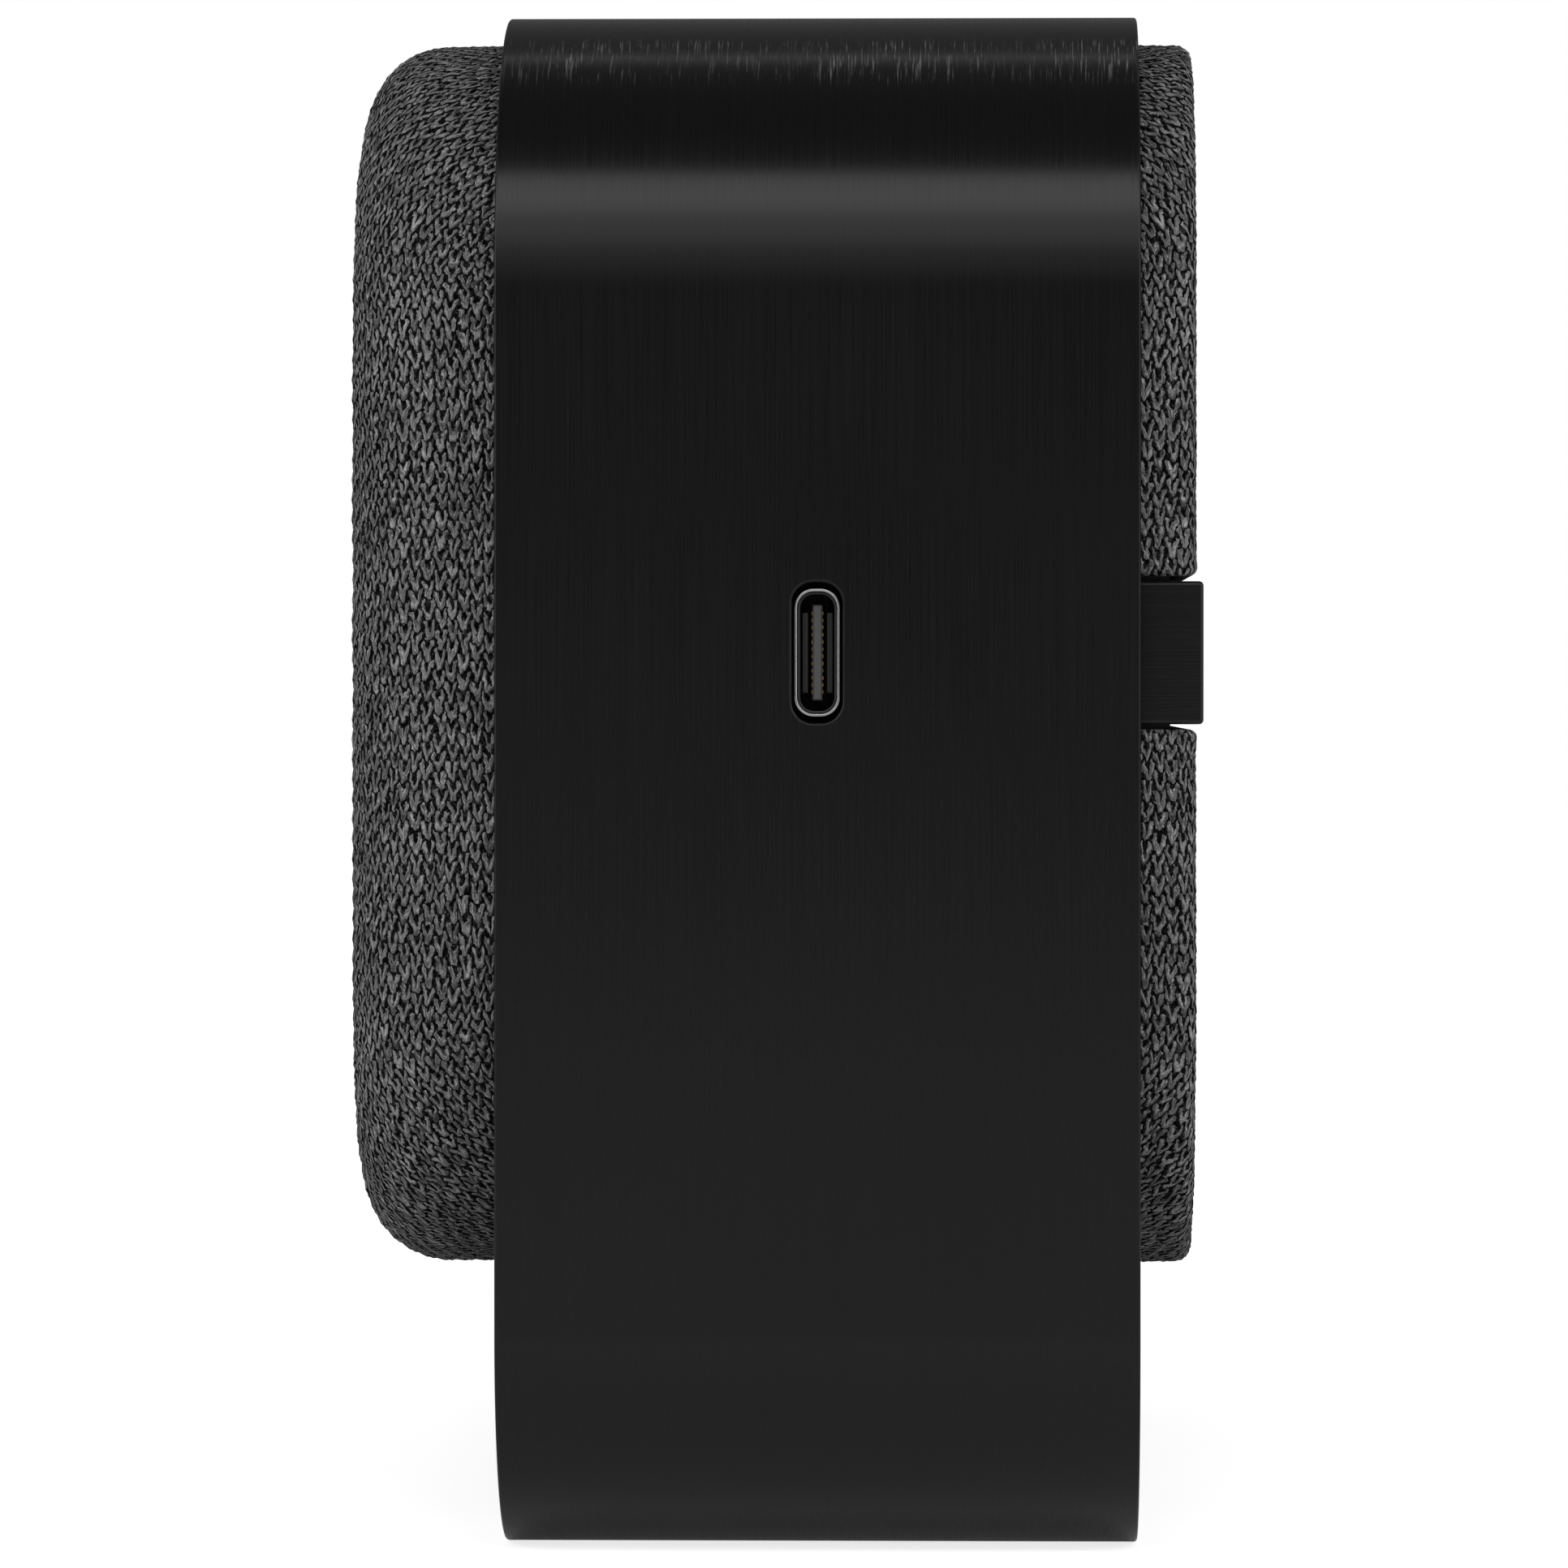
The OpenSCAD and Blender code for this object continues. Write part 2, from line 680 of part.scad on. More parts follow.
module speaker_screws() color("#8b8d90") at_speaker_screws()
    translate([0, flange_y + flange_t + 1, 0]) screw(1.55, 1, 0.85, 5);

module top_plate() color("#8d9094")
    ring_y(gap_r, magnet_r, plate_y, plate_y + plate_t);

module speaker_magnet() color("#3a3b3d")
    ring_y(gap_r + 1.5, magnet_r + 0.6, plate_y + plate_t,
        plate_y + plate_t + magnet_t);

module pole_yoke() color("#8d9094") {
    back = plate_y + plate_t + magnet_t;
    turned([[0, plate_y], [pole_r, plate_y], [pole_r, back],
        [magnet_r, back], [magnet_r, back + 2], [0, back + 2]]);
}

module voice_coil() color("#b06a3a")
    ring_y(coil_r - 0.3, coil_r + 0.3, coil_y, plate_y + plate_t + 1);

module speaker_cone() color("#17181a") turned([
    [coil_r + 0.32, coil_y], [coil_r + 1, coil_y],
    [cone_r, flange_y + 2.2], [cone_r + 0.6, flange_y + 2.2],
    [cone_r + 0.6, flange_y + 2.6], [cone_r, flange_y + 2.6],
    [coil_r + 1, coil_y + 0.9], [coil_r + 0.32, coil_y + 0.9]]);

cap_rise = 2.4;
cap_R = (pow(coil_r, 2) + pow(cap_rise, 2)) / (2 * cap_rise);

module dust_cap() color("#1f2022") {
    rim = coil_y - 0.4;
    half = asin(coil_r / cap_R);
    turned(concat(
        arc(0, rim - cap_rise + cap_R, cap_R, half - 90, -90, 8),
        arc(0, rim - cap_rise + cap_R, cap_R - 0.4, -90, half - 90, 8)));
}

module cone_surround() color("#141414") {
    mid = cone_r + 2.6;
    turned(concat(
        [[cone_r + 0.2, flange_y + 1.8], [mid - 1.5, flange_y + 1.8]],
        arc(mid, flange_y + 2, 1.5, 180, 0, 10),
        [[mid + 1.5, flange_y + flange_t], [mid + 2.9, flange_y + flange_t],
         [mid + 2.9, flange_y + 1.6], [mid + 1.9, flange_y + 1.6]],
        arc(mid, flange_y + 2, 1.9, 0, 174, 10),
        [[cone_r + 0.2, flange_y + 2.2]]));
}

module spider() color("#a08a5a") turned([
    [coil_r + 0.35, plate_y - 2.2], [magnet_r - 2, plate_y - 2.2],
    [magnet_r - 2, plate_y - 1.8], [coil_r + 0.35, plate_y - 1.8]]);

ear_x = box_w / 2 + 2.6;

module at_ears() {
    for (side = [0, 1], sz = [-1, 1])
        mirror([side, 0, 0]) translate([ear_x, 0, zc + sz * 20]) children();
}

module box_screws() color("#8b8d90")
    at_ears() translate([0, front_in + 4.1, 0]) screw(2, 1, 0.85, 5.4);

module speaker_box() color("#252627") difference() {
    union() {
        difference() {
            translate([0, 0, zc - box_h / 2]) along_y(front_in + 1.1, box_y)
                round_rect(box_w, box_h, 8, 8);
            translate([0, 0, zc - box_h / 2 + box_t])
                along_y(front_in - 1, box_y - box_t)
                    round_rect(box_w - 2 * box_t, box_h - 2 * box_t, 6, 6);
        }
        for (sx = [-1, 1], sz = [-1, 1])
            translate([sx * 40, 0, zc + sz * 26]) rod_y(2.4, 2, board_y);
        at_ears() {
            rod_y(2.8, front_in + 1.1, front_in + 3.1);
            translate([-4, front_in + 1.1, -2.5]) cube([4, 2, 5]);
        }
    }
    at_ears() rod_y(1.1, front_in, front_in + 5);
    for (sx = [-1, 1], sz = [-1, 1])
        translate([sx * 40, 0, zc + sz * 26]) rod_y(0.95, 6, board_y + 1);
    translate([-30, 0, zc - 21.5]) rod_y(1.6, box_y - 3, box_y + 1);
}

module box_seal() color("#181818")
    translate([0, 0, zc - box_h / 2]) along_y(front_in + 0.1, front_in + 1)
        difference() {
            round_rect(box_w, box_h, 8, 8);
            translate([0, 2]) round_rect(box_w - 4, box_h - 4, 6, 6);
        }

module speaker_leads() color("#7a1f1c") for (dx = [-1, 1])
    lead([[-20 + dx, plate_y - 1, zc - 13 + dx],
          [-26 + dx, -4, zc - 19], [-30 + dx * 0.6, 2, zc - 21.5],
          [-30 + dx * 0.6, board_y - 3.15, zc - 21.5]], 0.9);

loop_stand();
foot_pad();
loop_standoffs();
loop_screws();
front_knit();
rear_knit();
front_shell();
rear_shell();
shell_screws();
rear_bar();
bar_screws();
mute_slider();
pair_button();
status_lens();
control_board();
control_screws();
mute_switch();
pair_switch();
status_led();
usb_shell();
usb_tongue();
usb_contacts();
usb_board();
port_gasket();
usb_ribbon();
control_ribbon();
main_board();
board_screws();
shield_cans();
board_connectors();
thermal_pad();
heat_spreader();
wifi_antenna();
mesh_antenna();
antenna_leads();
mic_board();
microphones();
mic_gaskets();
mic_ribbon();
speaker_grille();
speaker_gasket();
speaker_basket();
speaker_screws();
top_plate();
speaker_magnet();
pole_yoke();
voice_coil();
speaker_cone();
dust_cap();
cone_surround();
spider();
speaker_box();
box_screws();
box_seal();
speaker_leads();
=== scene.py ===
"""Smart home hub: its visible pieces and finishes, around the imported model.

Run as a script. Front is -Y, back is +Y, the port side is +X, and the loop
stands on Z = 0. Everything is in metres; MM turns millimetres into metres.
"""

import json
import math
from functools import partialmethod

import bmesh
import bpy
import numpy as np
from bpy.props import FloatProperty, FloatVectorProperty, PointerProperty
from mathutils import Matrix, Vector


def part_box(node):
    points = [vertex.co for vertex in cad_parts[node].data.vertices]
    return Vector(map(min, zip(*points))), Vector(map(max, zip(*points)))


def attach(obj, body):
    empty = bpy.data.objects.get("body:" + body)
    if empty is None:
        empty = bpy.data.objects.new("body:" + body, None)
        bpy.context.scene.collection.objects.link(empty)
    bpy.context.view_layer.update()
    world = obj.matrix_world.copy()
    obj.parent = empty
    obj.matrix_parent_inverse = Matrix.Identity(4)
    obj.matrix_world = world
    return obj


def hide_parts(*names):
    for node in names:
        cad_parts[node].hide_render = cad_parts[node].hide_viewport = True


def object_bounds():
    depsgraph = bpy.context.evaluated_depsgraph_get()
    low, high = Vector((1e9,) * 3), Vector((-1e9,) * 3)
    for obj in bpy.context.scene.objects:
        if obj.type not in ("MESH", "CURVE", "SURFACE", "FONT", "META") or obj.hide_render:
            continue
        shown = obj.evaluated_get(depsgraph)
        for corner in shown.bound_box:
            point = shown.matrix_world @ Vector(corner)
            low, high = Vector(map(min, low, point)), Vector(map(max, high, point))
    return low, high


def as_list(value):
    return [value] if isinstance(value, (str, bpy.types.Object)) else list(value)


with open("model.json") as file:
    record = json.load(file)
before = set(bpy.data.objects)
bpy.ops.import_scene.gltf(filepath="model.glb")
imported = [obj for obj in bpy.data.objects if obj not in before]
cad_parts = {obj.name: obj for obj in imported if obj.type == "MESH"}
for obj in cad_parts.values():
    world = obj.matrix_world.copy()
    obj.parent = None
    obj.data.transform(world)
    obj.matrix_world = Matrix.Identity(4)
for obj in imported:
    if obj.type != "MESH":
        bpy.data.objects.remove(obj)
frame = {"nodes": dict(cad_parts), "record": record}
CAD_LOW, CAD_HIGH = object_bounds()

bl_info = {
    "name": "Smart home hub",
    "version": (1, 0, 0),
    "blender": (4, 5, 0),
    "location": "3D View > Sidebar > Home hub",
    "description": "Knit covered home hub in an aluminium loop stand",
    "category": "Object",
}

MM = 0.001
QUARTER = math.pi / 2

BAND_LOW, BAND_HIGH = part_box("loop_stand")
FRONT_LOW, FRONT_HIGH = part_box("front_knit")
REAR_LOW, REAR_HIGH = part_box("rear_knit")
BAR_LOW, BAR_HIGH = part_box("rear_bar")
PORT_LOW, PORT_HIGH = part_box("usb_shell")
TONGUE_LOW, TONGUE_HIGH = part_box("usb_tongue")
PAD_LOW, PAD_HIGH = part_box("foot_pad")
SLIDER_LOW, SLIDER_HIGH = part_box("mute_slider")
BUTTON_LOW, BUTTON_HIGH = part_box("pair_button")
LENS_LOW, LENS_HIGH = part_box("status_lens")
SCREWS_LOW, SCREWS_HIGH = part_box("bar_screws")
BODY_MID = Vector((0, 0, (FRONT_LOW.z + FRONT_HIGH.z) / 2))
PORT_MID = (PORT_LOW + PORT_HIGH) / 2
ALONG_X = Matrix(((0, 0, 1), (1, 0, 0), (0, 1, 0))).to_4x4()
ALONG_Y = Matrix(((0, 1, 0), (0, 0, 1), (1, 0, 0))).to_4x4()

# the body, and the knit over it
BODY_CORNER = 19.3 * MM
FRONT_EDGE, REAR_EDGE = 6.4 * MM, 1.2 * MM
FRONT_FINE, REAR_FINE = 15.2 * MM, 5.2 * MM  # full detail, past the core
CROWN_REACH, CROWN_LOW = 7.5, 0.1            # in mm, and its share low down
SEAM_Y = (BAND_LOW.y + BAND_HIGH.y) / 2
SEAM_ROOM = 0.05 * MM
HEM_R, HEM_IN = 0.35 * MM, 0.45 * MM
LIP_R, LIP_IN = 0.65 * MM, 0.9 * MM
CHANNEL_ROOM = 0.35 * MM
SIDE_STEP, HEM_STEP = 2.2 * MM, 0.2 * MM     # spacing of the points
BACK_STEP, LIP_STEP = 1.5 * MM, 0.22 * MM
FADE = 0.8 * MM                              # over which the relief dies out
PORT_HALF = 2.4 * MM, 5.6 * MM               # opening left at the port

# the controls and screws of the bar
TRAVEL = 2.4 * MM
KNOB, KNOB_ROOM = (2.8 * MM, 4 * MM), 0.2 * MM
CAP, CAP_HOLE, LENS_HOLE = 4.3 * MM, 4.6 * MM, 1.8 * MM
HEAD, HEAD_HOLE, SHANK, SHANK_HOLE = 4 * MM, 4.2 * MM, 1.7 * MM, 2.2 * MM
THROUGH = 12 * MM

# the port's shell
PORT_CORNER, PORT_WALL, PORT_FLOOR = 1.36 * MM, 0.2 * MM, 0.8 * MM


# ---- sizes and colours ----

def length(name, description, default):
    """A length in millimetres on the panel."""
    return FloatProperty(name=name, description=description,
                         default=default * MM, unit="LENGTH")


def tint(name, description, default):
    return FloatVectorProperty(name=name, description=description,
                               default=default, size=3, subtype="COLOR")


class BandSettings(bpy.types.PropertyGroup):
    thickness: length("Band thickness", "Thickness of the aluminium", 1.8)
    top_radius: length("Upper corners", "Outer radius of these corners", 21.2)
    bottom_radius: length("Lower corners", "Outer radius of these corners",
                          16)
    chamfer: length("Edge chamfer", "Width of the chamfer on each edge", 0.22)
    slot_width: length("Port slot width", "Width of the port's slot", 3.55)
    slot_height: length("Port slot height", "Height of the port's slot", 9.8)
    colour: tint("Anodising", "Colour of the anodised band",
                 (0.006, 0.006, 0.0063))


class KnitSettings(bpy.types.PropertyGroup):
    wale: length("Column width", "Width of one column of stitches", 0.88)
    course: length("Stitch repeat", "Height from stitch to stitch", 1.41)
    relief: length("Relief", "Depth of the stitches in the surface", 0.17)
    crown: length("Crown", "How far the front falls away at its edge", 0.25)
    light_yarn: tint("Light yarn", "Colour of the stitches",
                     (0.60, 0.60, 0.602))
    # near black: partly the dark yarn, partly painted shade in the gaps between the
    # stitches
    dark_yarn_and_gap_shade: tint("Dark yarn", "Colour of the ground behind them",
                    (0.004, 0.004, 0.0041))


class BarSettings(bpy.types.PropertyGroup):
    thickness: length("Bar thickness", "Thickness across the back", 2.2)
    leg: length("Leg thickness", "Thickness of the bar's legs", 1.4)
    chamfer: length("Edge chamfer", "Width of the chamfer on its edges", 0.3)
    colour: tint("Anodising", "Colour of the anodised bar",
                 (0.0085, 0.0085, 0.0088))


class StageSettings(bpy.types.PropertyGroup):
    distance: length("Camera distance", "From the band's side", 552)
    lens: FloatProperty(
        name="Focal length", description="Focal length of the camera in mm",
        default=182.0)
    floor: tint("Floor", "Colour of the floor", (0.86, 0.86, 0.86))


# ---- working by hand ----

def put_down():
    """Object mode, with nothing selected."""
    if bpy.context.object and bpy.context.object.mode != "OBJECT":
        bpy.ops.object.mode_set(mode="OBJECT")
    bpy.ops.object.select_all(action="DESELECT")


def pick_up(obj):
    put_down()
    obj.select_set(True)
    bpy.context.view_layer.objects.active = obj


def settle(obj):
    """Puts the object's place, turn and size into its mesh."""
    pick_up(obj)
    bpy.ops.object.transform_apply(location=True, rotation=True, scale=True)
    return obj


def named(name):
    obj = bpy.context.object
    obj.name = obj.data.name = name
    return obj


def block(name, low, high):
    put_down()
    low, high = Vector(low), Vector(high)
    bpy.ops.mesh.primitive_cube_add(size=1, location=(low + high) / 2)
    obj = named(name)
    obj.scale = high - low
    return settle(obj)


def oblong(name, centre, width, length, depth, sides=48):
    """A rod along Y whose outline is a circle drawn out to a slot shape."""
    put_down()
    bpy.ops.mesh.primitive_cylinder_add(
        vertices=sides, radius=width / 2, depth=depth,
        rotation=(0, 0, math.pi / sides))
    obj = settle(named(name))
    if length > width:
        for side in (-1, 1):
            select(obj, "VERT", lambda p, n: side * p[0].y > 0)
            bpy.ops.transform.translate(
                value=(0, side * (length - width) / 2, 0))
    put_down()
    obj.matrix_world = Matrix.Translation(centre) @ ALONG_Y
    return settle(obj)


def rod(name, centre, width, depth, sides=48):
    return oblong(name, centre, width, width, depth, sides)


def rounded(name, centre, width, length, depth, radius):
    """A bar along X whose outline is a rectangle with rounded corners."""
    half = Vector((width, length, depth)) / 2
    obj = block(name, -half, half)
    bevel(obj, lambda p, n: abs(p[0].z - p[1].z) > depth / 2, radius, 12)
    obj.matrix_world = Matrix.Translation(centre) @ ALONG_X
    return settle(obj)


def select(obj, kind, test):
    """Goes into edit mode and selects what passes test(points, normal)."""
    pick_up(obj)
    bpy.ops.object.mode_set(mode="EDIT")
    bpy.ops.mesh.select_mode(type=kind)
    bpy.ops.mesh.select_all(action="DESELECT")
    mesh = bmesh.from_edit_mesh(obj.data)
    items = {"VERT": mesh.verts, "EDGE": mesh.edges, "FACE": mesh.faces}[kind]
    chosen = 0
    for item in items:
        points = [item.co] if kind == "VERT" else [v.co for v in item.verts]
        normal = item.normal if kind == "FACE" else None
        if test(points, normal):
            item.select_set(True)
            chosen += 1
    bmesh.update_edit_mesh(obj.data)
    if not chosen:
        raise RuntimeError(f"{obj.name}: nothing selected")


def every(points, normal):
    return True


def all_at(axis, value, slack=1e-6):
    return lambda points, normal: all(abs(p[axis] - value) < slack
                                      for p in points)


def bevel(obj, test, width, segments=2):
    """Bevels the edges that pass test(points, normal)."""
    select(obj, "EDGE", test)
    bpy.ops.mesh.bevel(offset=width, offset_type="OFFSET", segments=segments,
                       profile=0.5, affect="EDGES", clamp_overlap=True)
    put_down()


def hollow(obj, wall, shift):
    """Sinks the inside of the bar's +X end and leaves a wall around it."""
    select(obj, "FACE", lambda p, n: n.x > 0.95)
    bpy.ops.mesh.inset(thickness=wall)
    bpy.ops.mesh.extrude_region_move(
        TRANSFORM_OT_translate={"value": (shift, 0, 0)})


def modify(obj, kind, **settings):
    """Adds a modifier and applies it."""
    pick_up(obj)
    modifier = obj.modifiers.new(kind.title(), kind)
    for key, value in settings.items():
        setattr(modifier, key, value)
    bpy.ops.object.modifier_apply(modifier=modifier.name)


def cut(obj, *tools):
    for tool in tools:
        modify(obj, "BOOLEAN", operation="DIFFERENCE", object=tool,
               solver="EXACT")
        bpy.data.objects.remove(tool)


def join(first, *others):
    pick_up(first)
    for obj in others:
        obj.select_set(True)
    bpy.ops.object.join()
    return first


def tidy_normals(obj):
    pick_up(obj)
    bpy.ops.object.mode_set(mode="EDIT")
    bpy.ops.mesh.select_all(action="SELECT")
    bpy.ops.mesh.remove_doubles(threshold=1e-7)
    bpy.ops.mesh.normals_make_consistent(inside=False)
    put_down()


def smooth(obj, degrees=32):
    """Smooth shading that leaves the flat faces flat."""
    pick_up(obj)
    bpy.ops.object.shade_smooth_by_angle(angle=math.radians(degrees))
    modify(obj, "WEIGHTED_NORMAL", keep_sharp=True, weight=80)
    put_down()


def finish(obj, slot, body="hub", nodes=(), material=None):
    """Gives a finished piece its material, its body and its CAD nodes."""
    obj.data.materials.clear()
    obj.data.materials.append(material or finish_of(slot))
    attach(obj, body)
    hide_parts(*nodes)
    return obj


# ---- node trees ----

class Nodes:
    """A node tree, with short calls for what it is built from. owner is its
    material or its world, and end is the node that it feeds."""

    def __init__(self, owner, end="Principled BSDF", **inputs):
        owner.use_nodes = True
        self.owner, self.tree = owner, owner.node_tree
        self.end = self.tree.nodes[end]
        self.finish(**inputs)

    def add(self, kind, inputs=(), **settings):
        node = self.tree.nodes.new("ShaderNode" + kind)
        for key, value in settings.items():
            setattr(node, key, value)
        for key, value in dict(inputs).items():
            self.feed(node.inputs[key], value)
        return node

    def feed(self, socket, value):
        if isinstance(value, bpy.types.NodeSocket):
            self.tree.links.new(value, socket)
        else:
            socket.default_value = value

    def math(self, operation, *values, clamp=False):
        node = self.add("Math", operation=operation, use_clamp=clamp)
        for socket, value in zip(node.inputs, values):
            self.feed(socket, value)
        return node.outputs[0]

    plus = partialmethod(math, "ADD")
    minus = partialmethod(math, "SUBTRACT")
    times = partialmethod(math, "MULTIPLY")
    most = partialmethod(math, "MAXIMUM")

    def vector_math(self, operation, *values):
        node = self.add("VectorMath", operation=operation)
        for socket, value in zip(node.inputs, values):
            self.feed(socket, value)
        return node.outputs[0]

    def join(self, x, y, z=0.0):
        return self.add("CombineXYZ", {"X": x, "Y": y, "Z": z}).outputs[0]

    def split(self, vector):
        return tuple(self.add("SeparateXYZ", {"Vector": vector}).outputs)

    def place(self):
        return self.add("TexCoord").outputs["Object"]

    def uv(self, layer):
        return self.add("UVMap", uv_map=layer).outputs[0]

    def stretch(self, vector, scale):
        return self.add("Mapping", {"Vector": vector, "Scale": scale}
                        ).outputs[0]

    def noise(self, vector, scale, detail=2.0, roughness=0.5):
        return self.add("TexNoise", {
            "Vector": vector, "Scale": scale, "Detail": detail,
            "Roughness": roughness}).outputs["Fac"]

    def noise_vector(self, vector, scale, amount):
        """Noise around zero, up to about amount each way."""
        node = self.add("TexNoise", {
            "Vector": vector, "Scale": scale, "Detail": 1.0})
        centred = self.vector_math("SUBTRACT", node.outputs["Color"],
                                   (0.5, 0.5, 0.5))
        return self.vector_math("MULTIPLY", centred,
                                (2 * amount, 2 * amount, 0.0))

    def range(self, value, low, high, to_low=0.0, to_high=1.0, soft=False):
        return self.add("MapRange", {
            "Value": value, "From Min": low, "From Max": high,
            "To Min": to_low, "To Max": to_high}, clamp=True,
            interpolation_type="SMOOTHSTEP" if soft else "LINEAR").outputs[0]

    def blend(self, factor, first, second):
        node = self.add("Mix", data_type="RGBA")
        self.feed(node.inputs["Factor"], factor)
        self.feed(node.inputs[6], first)
        self.feed(node.inputs[7], second)
        return node.outputs[2]

    def bump(self, height, distance, strength=1.0, normal=None):
        node = self.add("Bump", {"Height": height, "Distance": distance,
                                 "Strength": strength})
        if normal is not None:
            self.feed(node.inputs["Normal"], normal)
        return node.outputs[0]

    def finish(self, **sockets):
        for key, value in sockets.items():
            self.feed(self.end.inputs[key.replace("_", " ")], value)
        return self.owner


def surface(name, **inputs):
    return Nodes(bpy.data.materials.new(name), **inputs)


def rgba(colour, factor=1.0):
    return (*[c * factor for c in colour], 1.0)


def anodised(name, colour, across, glint_heights=None):
    """Brushed and anodised aluminium. across is the UV axis, 0 or 1, that
    runs across the brush lines. The last argument gives the heights between
    which short scratches are painted bright grey: painted glints, standing for
    the reflection of the overhead light in the scratches."""
    n = surface(name, Metallic=0.0, IOR=1.5, Anisotropic=0.75,
                Specular_IOR_Level=0.36)
    uv = n.uv("brush")

    def drawn(fine, along, detail, roughness):
        """Noise drawn out along the brush lines."""
        scale = [fine, fine, 0.0]
        scale[1 - across] = along
        return n.noise(n.stretch(uv, scale), 1.0, detail, roughness)

    lines = drawn(9000.0, 55.0, 3.0, 0.65)
    bands = drawn(1500.0, 22.0, 2.0, 0.6)
    cloud = n.noise(n.place(), 30.0, 2.0)
    scratch = n.range(lines, 0.60, 0.78, soft=True)
    shade = n.plus(n.times(bands, 0.35), n.times(lines, 0.65))
    base = n.blend(n.range(shade, 0.3, 0.7), rgba(colour, 0.86),
                   rgba(colour, 1.12))
    base = n.blend(n.times(scratch, 0.2), base, rgba(colour, 2.2))
    # painted glints: short scratches made bright grey between the given heights, in place
    # of the overhead light's reflection in them
    if glint_heights:
        low, high = glint_heights
        z = n.split(n.place())[2]
        near = n.times(n.range(z, low, low + 2.4 * MM, soft=True),
                       n.range(z, high, high - 0.9 * MM, soft=True))
        painted_glints = n.range(drawn(6500.0, 240.0, 3.0, 0.7), 0.55, 0.70)
        glint_patches = n.range(n.noise(n.stretch(uv, (90.0, 90.0, 0.0)), 1.0),
                          0.35, 0.62, 0.25, 1.0)
        painted_glints = n.times(painted_glints, n.times(near, glint_patches))
        base = n.blend(painted_glints, base, (0.26, 0.26, 0.26, 1.0))
    rough = n.plus(n.range(lines, 0.25, 0.75, 0.22, 0.34),
                   n.range(cloud, 0.3, 0.7, -0.02, 0.03))
    height = n.plus(lines, n.times(bands, 0.3))
    tangent = n.add("Tangent", direction_type="UV_MAP", uv_map="brush")
    return n.finish(Base_Color=base, Roughness=rough,
                    Normal=n.bump(height, 0.006 * MM),
                    Tangent=tangent.outputs[0])


